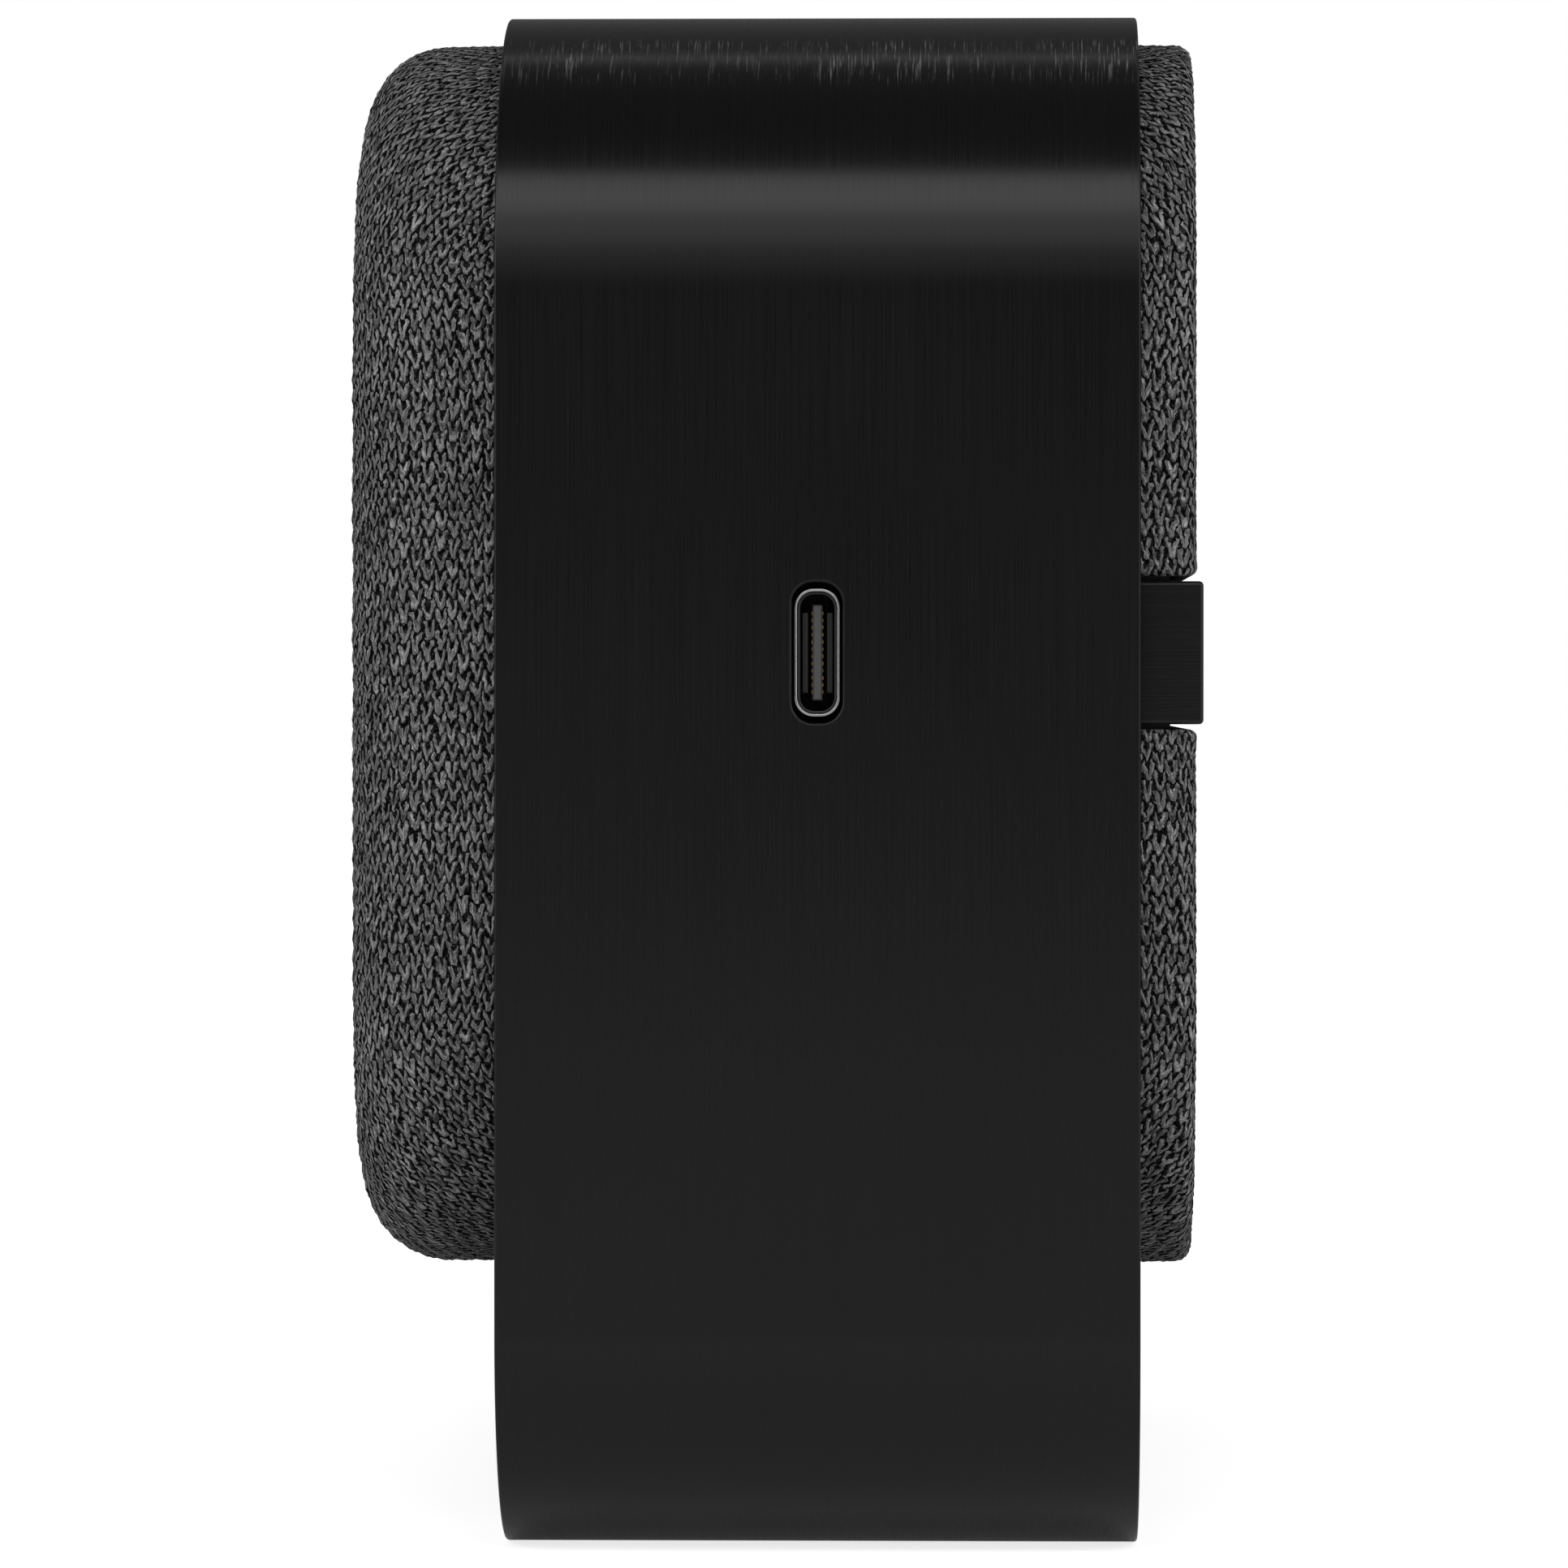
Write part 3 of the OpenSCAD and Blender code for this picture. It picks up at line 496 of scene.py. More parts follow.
def knit_material(knit):
    """Light V stitches with their tips down over a dark ground, which is partly
    dark yarn and partly painted shade in the gaps between the stitches. The UV
    map counts columns along U and stitch repeats along V."""
    n = surface("charcoal knit", Roughness=0.8, IOR=1.45, Sheen_Roughness=0.4)
    uv = moved = n.uv("stitches")
    for scale, amount in ((0.22, 0.45), (1.1, 0.26), (2.6, 0.17), (7.0, 0.09)):
        moved = n.vector_math("ADD", moved, n.noise_vector(uv, scale, amount))
    u, v, _ = n.split(moved)
    column = n.math("FLOOR", u)
    across = n.minus(n.minus(u, column), 0.5)
    v = n.plus(v, n.math("FRACT", n.times(column, 0.5)))
    row = n.math("FLOOR", v)
    up = n.minus(v, row)
    thin = n.range(n.noise(uv, 1.5, 3.0, 0.7), 0.3, 0.7, -0.32, 0.40)
    tip, top, half_width, end = 0.04, 1.04, 0.175, 0.12

    def stitch(rows_down):
        """How far a point is from a stitch's yarn, 1 at the yarn's edge, its
        place across the arm, and the stitch's own random value."""
        chance = n.add("TexWhiteNoise", {"Vector": n.join(
            column, n.minus(row, rows_down))}).outputs["Value"]
        lean = n.times(n.minus(chance, 0.5), 0.14)
        rise = n.minus(n.plus(up, rows_down), tip)
        arm = n.times(n.most(rise, 0.0), 0.45)
        arm = n.math("SMOOTH_MIN", arm, 0.37, 0.10)
        side = n.math("ABSOLUTE", n.plus(across, lean))
        side = n.math("DIVIDE", n.minus(side, arm), half_width)
        below = n.math("DIVIDE", n.minus(0.07, rise), end)
        above = n.math("DIVIDE", n.minus(rise, top - tip - end), end)
        past = n.most(n.most(below, above), 0.0)
        away = n.math("SQRT", n.plus(
            n.math("POWER", n.math("ABSOLUTE", side), 2.0),
            n.math("POWER", past, 2.0)))
        return away, side, chance

    # the arms of the stitch below reach up past the tip of this one
    near, far = stitch(0.0), stitch(1.0)
    upper = n.math("LESS_THAN", near[0], far[0])
    away, side, chance = [
        n.plus(second, n.times(upper, n.minus(first, second)))
        for first, second in zip(near, far)]
    away = n.plus(away, thin)
    yarn = n.range(away, 1.12, 0.80, soft=True)
    # this stitch shades the one below where it lies over its arms
    shade = n.most(upper, n.range(n.plus(near[0], thin), 1.35, 1.9,
                                  soft=True))
    yarn = n.times(yarn, shade)
    round_top = n.math("SQRT", n.math("SUBTRACT", 1.0, n.math(
        "POWER", n.most(away, 0.0), 2.0), clamp=True))

    # two or three filaments along each arm, with painted glints along them and a painted
    # highlight towards the arm's edges
    strand = n.noise(n.join(n.times(side, 0.9), n.times(v, 1.25), column),
                     1.9, 3.0, 0.55)
    painted_edge_highlight = n.range(away, 0.2, 0.85, -0.05, 0.16, True)
    glint = n.math("POWER", n.range(strand, 0.39, 0.68), 1.35)
    tone = n.plus(n.range(chance, 0.0, 1.0, 0.10, 0.28),
                  n.times(glint, 0.85))
    tone = n.plus(tone, painted_edge_highlight)
    # loose strands of the yarn behind, seen between the stitches
    half = n.math("PINGPONG", u, 0.5)
    stray = n.noise(n.join(n.times(half, 6.0),
                           n.minus(n.times(v, 2.6), half)), 1.5, 3.0, 0.65)
    behind = n.range(stray, 0.50, 0.70, 0.0, 0.16, True)
    cloth = n.range(n.noise(uv, 0.12, 2.0), 0.3, 0.7, 0.9, 1.1)
    amount = n.times(n.most(n.times(yarn, tone), behind), cloth)
    # where no yarn lies in front, the near black ground: partly dark yarn, partly painted
    # shade
    base = n.blend(amount, rgba(knit.dark_yarn_and_gap_shade), rgba(knit.light_yarn))
    height = n.plus(round_top, n.times(strand, 0.6))
    height = n.plus(height, n.times(behind, 0.5))
    return n.finish(Base_Color=base, Normal=n.bump(height, 0.30 * MM),
                    Specular_IOR_Level=n.times(yarn, 0.22),
                    Sheen_Weight=n.times(yarn, 0.08))


def grained(name, colour, rough, grain=900.0, depth=0.02, vary=0.12,
            metal=0.0, stretch=(1.0, 1.0, 1.0), **inputs):
    """Moulded plastic, rubber, bare metal, paper or film: fine grain in the
    colour, the roughness and the surface."""
    n = surface(name, Metallic=metal, **inputs)
    place = n.stretch(n.place(), stretch)
    fine = n.noise(place, grain, 3.0, 0.6)
    cloud = n.noise(place, grain / 25, 2.0)
    tone = n.plus(n.times(fine, 0.6), n.times(cloud, 0.4))
    base = n.blend(n.range(tone, 0.3, 0.7), rgba(colour, 1 - vary),
                   rgba(colour, 1 + vary))
    roughness = n.range(fine, 0.25, 0.75, rough - 0.07, rough + 0.07)
    return n.finish(Base_Color=base, Roughness=roughness,
                    Normal=n.bump(fine, depth * MM))


RECORD_COLOURS = {m["slot"]: tuple(m["base_color"][:3])
                  for m in frame["record"]["materials"]}
DRAWN = (1.0, 12.0, 12.0)
# roughness, fineness of the grain, its depth in mm, how far the colour
# varies, and 1 for bare metal
GRAINS = {
    "shell_plastic": (0.55, 2500, 0.03),
    "control_plastic": (0.42, 4000, 0.01),
    "basket_plastic": (0.6, 2500, 0.03),
    "foot_rubber": (0.78, 3000, 0.03, 0.2),
    "seal_rubber": (0.8, 2500, 0.02),
    "raw_aluminium": (0.36, 900, 0.02, 0.12, 1, DRAWN),
    "screw_steel": (0.34, 1500, 0.02, 0.12, 1),
    "black_steel": (0.4, 1800, 0.01),
    "switch_metal": (0.32, 1500, 0.02, 0.12, 1),
    "port_steel": (0.22, 1500, 0.004, 0.05, 1, DRAWN),
    "plated_iron": (0.38, 1200, 0.02, 0.12, 1),
    "ferrite": (0.62, 1500, 0.03, 0.25),
    "tongue_plastic": (0.4, 3000, 0.008),
    "connector_plastic": (0.45, 2500, 0.01),
    "contact_gold": (0.24, 2500, 0.004, 0.12, 1),
    "coil_copper": (0.3, 900, 0.05, 0.12, 1, (0.2, 6.0, 0.2)),
    "circuit_board": (0.35, 1200, 0.01, 0.22),
    "ribbon_film": (0.3, 900, 0.004),
    "lead_black": (0.45, 2500, 0.01),
    "lead_red": (0.45, 2500, 0.01),
    "pad_silicone": (0.7, 2500, 0.02),
    "cone_paper": (0.75, 1500, 0.05, 0.25),
    "spider_cloth": (0.8, 1800, 0.06, 0.3),
    "clear_lens": (0.35, 2500, 0.006, 0.03),
}


def finish_of(slot):
    """The material for a slot of the record, made once."""
    name = slot + " finish"
    clear = {"Transmission_Weight": 0.7, "IOR": 1.49}
    return bpy.data.materials.get(name) or grained(
        name, RECORD_COLOURS[slot], *GRAINS[slot],
        **(clear if slot == "clear_lens" else {}))


# ---- knit panels ----

class Drape:
    """One flat panel of knit laid over a face of the body. A point of the
    flat cloth is (u, v) from the middle of the face. Inside the core it lies
    on the face; past the core's edge it turns over the edge radius and then
    runs straight back to the seam."""

    def __init__(self, low, high, face_y, sense, edge_r, crown):
        half = Vector(((high.x - low.x) / 2, (high.z - low.z) / 2))
        self.mid_z = (high.z + low.z) / 2
        self.face_y, self.sense, self.edge_r = face_y, sense, edge_r
        self.crown = crown
        self.core = (half.x - edge_r, half.y - edge_r)
        self.corner = BODY_CORNER - edge_r
        side = abs(face_y - sense * edge_r - SEAM_Y) - SEAM_ROOM
        self.seam = edge_r * QUARTER + side
        self.half_flat = (self.core[0] + self.seam, self.core[1] + self.seam)

    def reach(self, u, v):
        """Distance past the core's edge, and the way outwards."""
        inner_u, inner_v = (c - self.corner for c in self.core)
        past_u, past_v = np.abs(u) - inner_u, np.abs(v) - inner_v
        corner = (past_u > 0) & (past_v > 0)
        far = np.hypot(past_u, past_v)
        far = np.where(corner, np.maximum(far, 1e-9), 1.0)
        way_u = np.where(corner, past_u / far, past_u >= past_v)
        way_v = np.where(corner, past_v / far, past_v > past_u)
        reach = np.where(corner, far, np.maximum(past_u, past_v))
        return (reach - self.corner, way_u * np.sign(u),
                way_v * np.sign(v))

    def swell(self, v):
        """Share of the crown's drop, towards the top far more than towards
        the bottom."""
        d = (self.core[1] - np.abs(v)) / MM
        outside = (1 - d / CROWN_REACH) * np.exp(
            -(np.minimum(d, 0) / 5) ** 2)
        share = np.where(d > 0, np.exp(-np.maximum(d, 0) / CROWN_REACH),
                         outside)
        return share * np.where(v > 0, 1.0, CROWN_LOW)

    def lay(self, u, v, depth):
        """Points of the cloth in space, depth below its outer surface."""
        reach, way_u, way_v = self.reach(u, v)
        t = np.maximum(reach, 0)
        angle = np.minimum(t / self.edge_r, QUARTER)
        along = t - self.edge_r * QUARTER
        out = self.edge_r * np.sin(angle) - depth * np.sin(angle)
        back = self.edge_r * (1 - np.cos(angle)) + np.maximum(along, 0)
        back = back + depth * np.cos(angle)
        back = back + self.crown * self.swell(v) * np.cos(angle)
        x = u - way_u * t + way_u * out
        z = v - way_v * t + way_v * out + self.mid_z
        return np.stack([x, self.face_y - self.sense * back, z], axis=-1)

    def flat_size(self):
        """Width, length and area of the panel when it lay flat."""
        width, length = 2 * self.half_flat[0], 2 * self.half_flat[1]
        round_r = self.corner + self.seam
        return width, length, width * length - (4 - math.pi) * round_r ** 2


def steps(stops, sizes):
    """A row of positions through the stops, with about the given step in
    each stretch."""
    row = [stops[0]]
    for a, b, size in zip(stops, stops[1:], sizes):
        count = max(1, round((b - a) / size))
        row += [a + (b - a) * (i + 1) / count for i in range(count)]
    return np.array(row)


def roll(distance, radius, depth_in):
    """How an edge turns in: distance is how far past the start of the roll.
    Returns how far on it lies and how deep."""
    angle = np.clip(distance / radius, 0, QUARTER)
    straight = np.clip(distance - radius * QUARTER, 0, depth_in)
    on = np.where(distance > 0, radius * np.sin(angle), distance)
    deep = np.where(distance > 0, radius * (1 - np.cos(angle)), 0) + straight
    return on, deep


def stitch_height(columns, rows):
    """Height of the knit from 0 to 1, at a place counted in stitches."""
    column = np.floor(columns)
    across = np.abs(columns - column - 0.5)
    rows = rows + (column % 2) * 0.5
    up = rows - np.floor(rows)
    arm = np.maximum(up - 0.10, 0) * 0.42
    body = np.exp(-((across - arm) / 0.22) ** 2)
    ends = np.clip((up + 0.05) / 0.2, 0, 1) * np.clip((1.0 - up) / 0.2, 0, 1)
    return body * ends


def waves(u, v, seed):
    """Slow unevenness of the cloth, from -1 to 1."""
    rng = np.random.default_rng(seed)
    total = np.zeros_like(u)
    for _ in range(10):
        heading = rng.uniform(0, 2 * math.pi)
        length = rng.uniform(3.0, 11.0) * MM
        phase = rng.uniform(0, 2 * math.pi)
        total += np.sin((u * math.cos(heading) + v * math.sin(heading))
                        * 2 * math.pi / length + phase)
    return total / 10 ** 0.5 / 1.5


def knit_panel(name, drape, knit, fine_reach, seed, channel):
    """A panel as one sheet of stitches with its hem turned in."""
    wale, course = knit.wale, knit.course
    core_u, core_v = drape.core
    hem = HEM_R * QUARTER + HEM_IN
    end = drape.seam - HEM_R            # where the hem starts to turn
    full_u, full_v = core_u + end + hem, core_v + end + hem
    fine_u, fine_v = core_u + fine_reach, core_v + fine_reach
    hem_u = [core_u + end - 3 * HEM_STEP, full_u]
    hem_v = [core_v + end - 3 * HEM_STEP, full_v]
    third = course / 3
    u_row = steps([0, fine_u, *hem_u], [wale / 2, SIDE_STEP, HEM_STEP])
    u_row = np.concatenate([-u_row[:0:-1], u_row])
    lip = BAR_HIGH.z - drape.mid_z + CHANNEL_ROOM + LIP_R
    lip_end = lip - LIP_R * QUARTER - LIP_IN
    if channel:
        stops = [0, lip_end, lip + 0.3 * MM]
        up_row = steps([*stops, fine_v, *hem_v],
                       [BACK_STEP, LIP_STEP, third, third, HEM_STEP])
        down = steps([*stops, *hem_v], [BACK_STEP, LIP_STEP, third, HEM_STEP])
    else:
        up_row = steps([0, fine_v, *hem_v], [third, SIDE_STEP, HEM_STEP])
        down = steps([0, *hem_v], [third, HEM_STEP])
    v_row = np.concatenate([-down[:0:-1], up_row])
    u, v = (a.ravel() for a in np.meshgrid(u_row, v_row))

    # pull the points past the hem back onto its edge
    reach, way_u, way_v = drape.reach(u, v)
    over = np.maximum(reach - (end + hem), 0)
    flat_u, flat_v = u - way_u * over, v - way_v * over
    reach = np.minimum(reach, end + hem)

    # relief of the stitches, none where the cloth is turned in
    height = stitch_height(flat_u / wale, flat_v / course)
    calm = np.clip((end - reach) / FADE, 0, 1)
    depth = knit.relief * (1 - height) * calm
    depth = depth + 0.035 * MM * (1 + waves(flat_u, flat_v, seed)) * calm

    # the hem
    on, deep = roll(reach - end, HEM_R, HEM_IN)
    shift = np.where(reach > end, on - (reach - end), 0)
    depth = depth + np.where(reach > end, deep, 0)
    lay_u, lay_v = flat_u + way_u * shift, flat_v + way_v * shift

    # the lips that roll into the bar's channel
    leg_end = drape.edge_r * QUARTER + (
        drape.face_y - drape.edge_r - BAR_LOW.y) + 0.3 * MM
    if channel:
        weight = np.clip((leg_end + 1.2 * MM - reach) / MM, 0, 1)
        on, deep = roll(lip - np.abs(lay_v), LIP_R, LIP_IN)
        inside = np.abs(lay_v) < lip
        moved = np.sign(lay_v) * (lip - on)
        lay_v = np.where(inside, lay_v + weight * (moved - lay_v), lay_v)
        calm_lip = np.clip((np.abs(flat_v) - lip) / FADE + 0.3, 0, 1)
        depth = np.where(inside, depth * calm_lip + weight * deep,
                         depth * (calm_lip * weight + 1 - weight))
    points = drape.lay(lay_u, lay_v, depth)

    # faces, without those past the hem, in the channel or at the port
    nu, nv = len(u_row), len(v_row)
    grid = np.arange(nu * nv).reshape(nv, nu)
    quads = np.stack([grid[:-1, :-1], grid[:-1, 1:], grid[1:, 1:],
                      grid[1:, :-1]], axis=-1).reshape(-1, 4)
    kept = over[quads].min(axis=1) <= 0
    mid_u, mid_v = flat_u[quads].mean(axis=1), flat_v[quads].mean(axis=1)
    mid = points[quads].mean(axis=1)
    if channel:
        kept &= ~((np.abs(mid_v) < lip_end)
                  & (reach[quads].max(axis=1) < leg_end + 0.3 * MM))
    port = ((mid_u > core_u) & (np.abs(mid[:, 1] - SEAM_Y) < PORT_HALF[0])
            & (np.abs(mid[:, 2] - drape.mid_z) < PORT_HALF[1]))
    quads = quads[kept & ~port]
    if drape.sense > 0:
        quads = quads[:, ::-1]
    used, quads = np.unique(quads, return_inverse=True)
    quads = quads.reshape(-1, 4)
    mesh = bpy.data.meshes.new(name)
    mesh.from_pydata(points[used].tolist(), [], quads.tolist())
    uv = mesh.uv_layers.new(name="stitches")
    flat = np.stack([flat_u[used] / wale, flat_v[used] / course], axis=-1)
    loops = np.empty(len(mesh.loops), np.int32)
    mesh.loops.foreach_get("vertex_index", loops)
    uv.data.foreach_set("uv", flat[loops].astype(np.float32).ravel())
    obj = bpy.data.objects.new(name, mesh)
    bpy.context.scene.collection.objects.link(obj)
    pick_up(obj)
    bpy.ops.object.mode_set(mode="EDIT")
    bpy.ops.mesh.select_all(action="SELECT")
    bpy.ops.mesh.remove_doubles(threshold=1e-6)
    bpy.ops.mesh.delete_loose()
    pick_up(obj)
    bpy.ops.object.shade_smooth()
    put_down()
    return obj


class HUB_OT_knit(bpy.types.Operator):
    """Make the two knit panels"""
    bl_idname = "hub.knit"
    bl_label = "Knit panels"

    def execute(self, context):
        knit = context.scene.hub_knit
        material = knit_material(knit)
        front = Drape(FRONT_LOW, FRONT_HIGH, FRONT_LOW.y, -1, FRONT_EDGE,
                      knit.crown)
        rear = Drape(REAR_LOW, REAR_HIGH, REAR_HIGH.y, 1, REAR_EDGE, 0.0)
        for end, drape, fine, seed, shells in (
                ("front", front, FRONT_FINE, 11, ["front_shell"]),
                ("rear", rear, REAR_FINE, 12, ["rear_shell", "front_shell"])):
            cover = knit_panel("knit_" + end, drape, knit, fine, seed,
                               drape is rear)
            finish(cover, "charcoal_knit", nodes=[end + "_knit"],
                   material=material)
            width, length, area = drape.flat_size()
            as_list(shells)
        return {"FINISHED"}


# ---- loop stand ----

def brush_map(obj, place):
    """Writes the UV map for the brush lines: place(point, middle) gives
    (across, along) in metres."""
    mesh = obj.data
    while len(mesh.uv_layers):
        mesh.uv_layers.remove(mesh.uv_layers[0])
    layer = mesh.uv_layers.new(name="brush")
    for face in mesh.polygons:
        for loop in face.loop_indices:
            point = mesh.vertices[mesh.loops[loop].vertex_index].co
            layer.data[loop].uv = place(point, face.center)


def around_band(band):
    """The way along the band from the middle of its floor, up the port
    side, over the top and down the other side."""
    half = BAND_HIGH.x
    low_r, top_r = band.bottom_radius, band.top_radius
    height = BAND_HIGH.z
    bottom = half - low_r
    arc_low = low_r * QUARTER
    side = height - low_r - top_r
    arc_top = top_r * QUARTER

    def place(point, middle):
        x, z = abs(point.x), point.z
        if z < low_r and x > bottom:
            way = bottom + low_r * math.atan2(x - bottom, low_r - z)
        elif z > height - top_r and x > half - top_r:
            way = bottom + arc_low + side + top_r * math.atan2(
                z - height + top_r, x - half + top_r)
        elif x > half - 3 * MM:
            way = bottom + arc_low + z - low_r
        elif z < height / 2:
            way = x
        else:
            way = bottom + arc_low + side + arc_top + half - top_r - x
        sign = 1 if middle.x >= 0 else -1
        if (abs(middle.x) > 1e-6 and point.x * sign < -1e-6
                and z < height / 2):
            way = -way
        return (point.y, sign * way)

    return place


class HUB_OT_band(bpy.types.Operator):
    """Make the loop stand: one band of brushed, black anodised aluminium"""
    bl_idname = "hub.band"
    bl_label = "Loop stand"

    def execute(self, context):
        band = context.scene.hub_band
        middle = (BAND_LOW + BAND_HIGH) / 2
        put_down()
        bpy.ops.mesh.primitive_plane_add(
            size=1, rotation=(QUARTER, 0, 0),
            location=(middle.x, BAND_LOW.y, middle.z))
        loop = named("band")
        loop.scale = (BAND_HIGH.x - BAND_LOW.x, BAND_HIGH.z - BAND_LOW.z, 1)
        settle(loop)
        for top, radius in ((True, band.top_radius),
                            (False, band.bottom_radius)):
            select(loop, "VERT",
                   lambda p, n: (p[0].z > middle.z) == top)
            bpy.ops.mesh.bevel(offset=radius, offset_type="OFFSET",
                               segments=28, profile=0.5, affect="VERTICES")
        select(loop, "FACE", every)
        bpy.ops.mesh.inset(thickness=band.thickness)
        bpy.ops.mesh.delete(type="FACE")
        select(loop, "FACE", every)
        bpy.ops.mesh.extrude_region_move(TRANSFORM_OT_translate={
            "value": (0, BAND_HIGH.y - BAND_LOW.y, 0)})
        tidy_normals(loop)
        for y in (BAND_LOW.y, BAND_HIGH.y):
            bevel(loop, lambda p, n: all_at(1, y)(p, n) and abs(
                (p[0] - p[1]).length - band.thickness) > 1e-5,
                band.chamfer, 3)
        slot = rounded("port_slot", (BAND_HIGH.x, middle.y, BODY_MID.z),
                       band.slot_width, band.slot_height, 8 * MM, 1.5 * MM)
        room = 0.1 * MM
        pocket = block("foot_pocket",
                       (PAD_LOW.x - room, PAD_LOW.y - room, -2 * MM),
                       (PAD_HIGH.x + room, PAD_HIGH.y + room, PAD_HIGH.z))
        cut(loop, slot, pocket)
        bevel(loop, lambda p, n: all_at(0, BAND_HIGH.x)(p, n) and all(
            abs(q.y - middle.y) < 2.2 * MM
            and abs(q.z - BODY_MID.z) < 5.5 * MM for q in p), 0.2 * MM, 3)
        tidy_normals(loop)
        smooth(loop, 30)
        brush_map(loop, around_band(band))
        # the heights in the upper corners where the scratches get painted glints
        material = anodised("black anodised band", band.colour, 0,
                            (BAND_HIGH.z - 6.4 * MM, BAND_HIGH.z - 2.0 * MM))
        finish(loop, "black_anodised_band", nodes=["loop_stand"],
               material=material)
        return {"FINISHED"}


# ---- cross bar and controls ----

class HUB_OT_bar(bpy.types.Operator):
    """Make the cross bar with its holes, and its two screws"""
    bl_idname = "hub.bar"
    bl_label = "Cross bar"

    def execute(self, context):
        bar = context.scene.hub_bar
        low, high = BAR_LOW, BAR_HIGH
        back = block("cross_bar", (low.x, high.y - bar.thickness, low.z),
                     high)
        for side in (-1, 1):
            select(back, "FACE", every)
            bpy.ops.mesh.bisect(plane_co=(side * (high.x - bar.leg), 0, 0),
                                plane_no=(1, 0, 0))
        select(back, "FACE", lambda p, n: n.y < -0.9 and abs(
            sum(q.x for q in p) / len(p)) > high.x - bar.leg)
        bpy.ops.mesh.extrude_region_move(TRANSFORM_OT_translate={
            "value": (0, low.y - (high.y - bar.thickness), 0)})
        bevel(back, lambda p, n: (
            all_at(1, high.y)(p, n)
            or all(abs(abs(q.x) - high.x) < 1e-6 for q in p))
            and not all_at(0, high.x - bar.leg, 1e-5)(p, n)
            and not all_at(0, bar.leg - high.x, 1e-5)(p, n), bar.chamfer, 3)
        middle_z = (low.z + high.z) / 2
        button_x = (BUTTON_LOW.x + BUTTON_HIGH.x) / 2
        holes = [
            rod("hole", (button_x, high.y, middle_z), CAP_HOLE, THROUGH),
            rod("hole", (0, high.y, middle_z), LENS_HOLE, THROUGH, 32),
            oblong("hole", (-button_x, high.y, middle_z),
                   KNOB[0] + 2 * KNOB_ROOM,
                   KNOB[1] + TRAVEL + 2 * KNOB_ROOM, THROUGH)]
        for side in (-1, 1):
            x = side * (SCREWS_HIGH.x - HEAD / 2)
            holes.append(rod("hole", (x, high.y, middle_z), SHANK_HOLE,
                             THROUGH, 32))
            holes.append(rod("hole", (x, high.y + MM, middle_z), HEAD_HOLE,
                             4.4 * MM))
        cut(back, *holes)
        bevel(back, lambda p, n: all_at(1, high.y)(p, n) and all(
            abs(q.z - middle_z) < high.z - middle_z - 2 * MM
            and abs(q.x) < high.x - 5 * MM for q in p)
            and (p[0] - p[1]).length < 3 * MM, 0.12 * MM, 2)
        tidy_normals(back)
        smooth(back, 30)
        brush_map(back, lambda p, m: (
            p.x if abs(m.x) < high.x - 0.4 * MM or m.y > high.y - bar.chamfer
            else math.copysign(high.x + high.y - p.y, m.x), p.z))
        material = anodised("black anodised bar", bar.colour, 1)
        finish(back, "black_anodised_bar", nodes=["rear_bar"],
               material=material)
        self.screws(middle_z)
        return {"FINISHED"}

    def screws(self, middle_z):
        """Socket screws: modelled once and copied."""
        x = SCREWS_HIGH.x - HEAD / 2
        top = SCREWS_HIGH.y
        screw = rod("bar_screw_right", (x, top - 0.5 * MM, middle_z), HEAD,
                    MM)
        bevel(screw, all_at(1, top), 0.22 * MM, 3)
        cut(screw, rod("socket", (x, top, middle_z), 1.9 * MM, 1.3 * MM, 6))
        length = top - MM - SCREWS_LOW.y
        shank = rod("shank", (x, SCREWS_LOW.y + length / 2, middle_z), SHANK,
                    length, 24)
        select(shank, "FACE", lambda p, n: n.y < -0.9)
        bpy.ops.mesh.inset(thickness=0.3 * MM, depth=0.0)
        put_down()
        join(screw, shank)
        smooth(screw, 35)
        pick_up(screw)
        bpy.ops.object.duplicate()
        twin = named("bar_screw_left")
        twin.location.x = -2 * x
        settle(twin)
        for piece in (screw, twin):
            finish(piece, "black_steel", nodes=["bar_screws"])


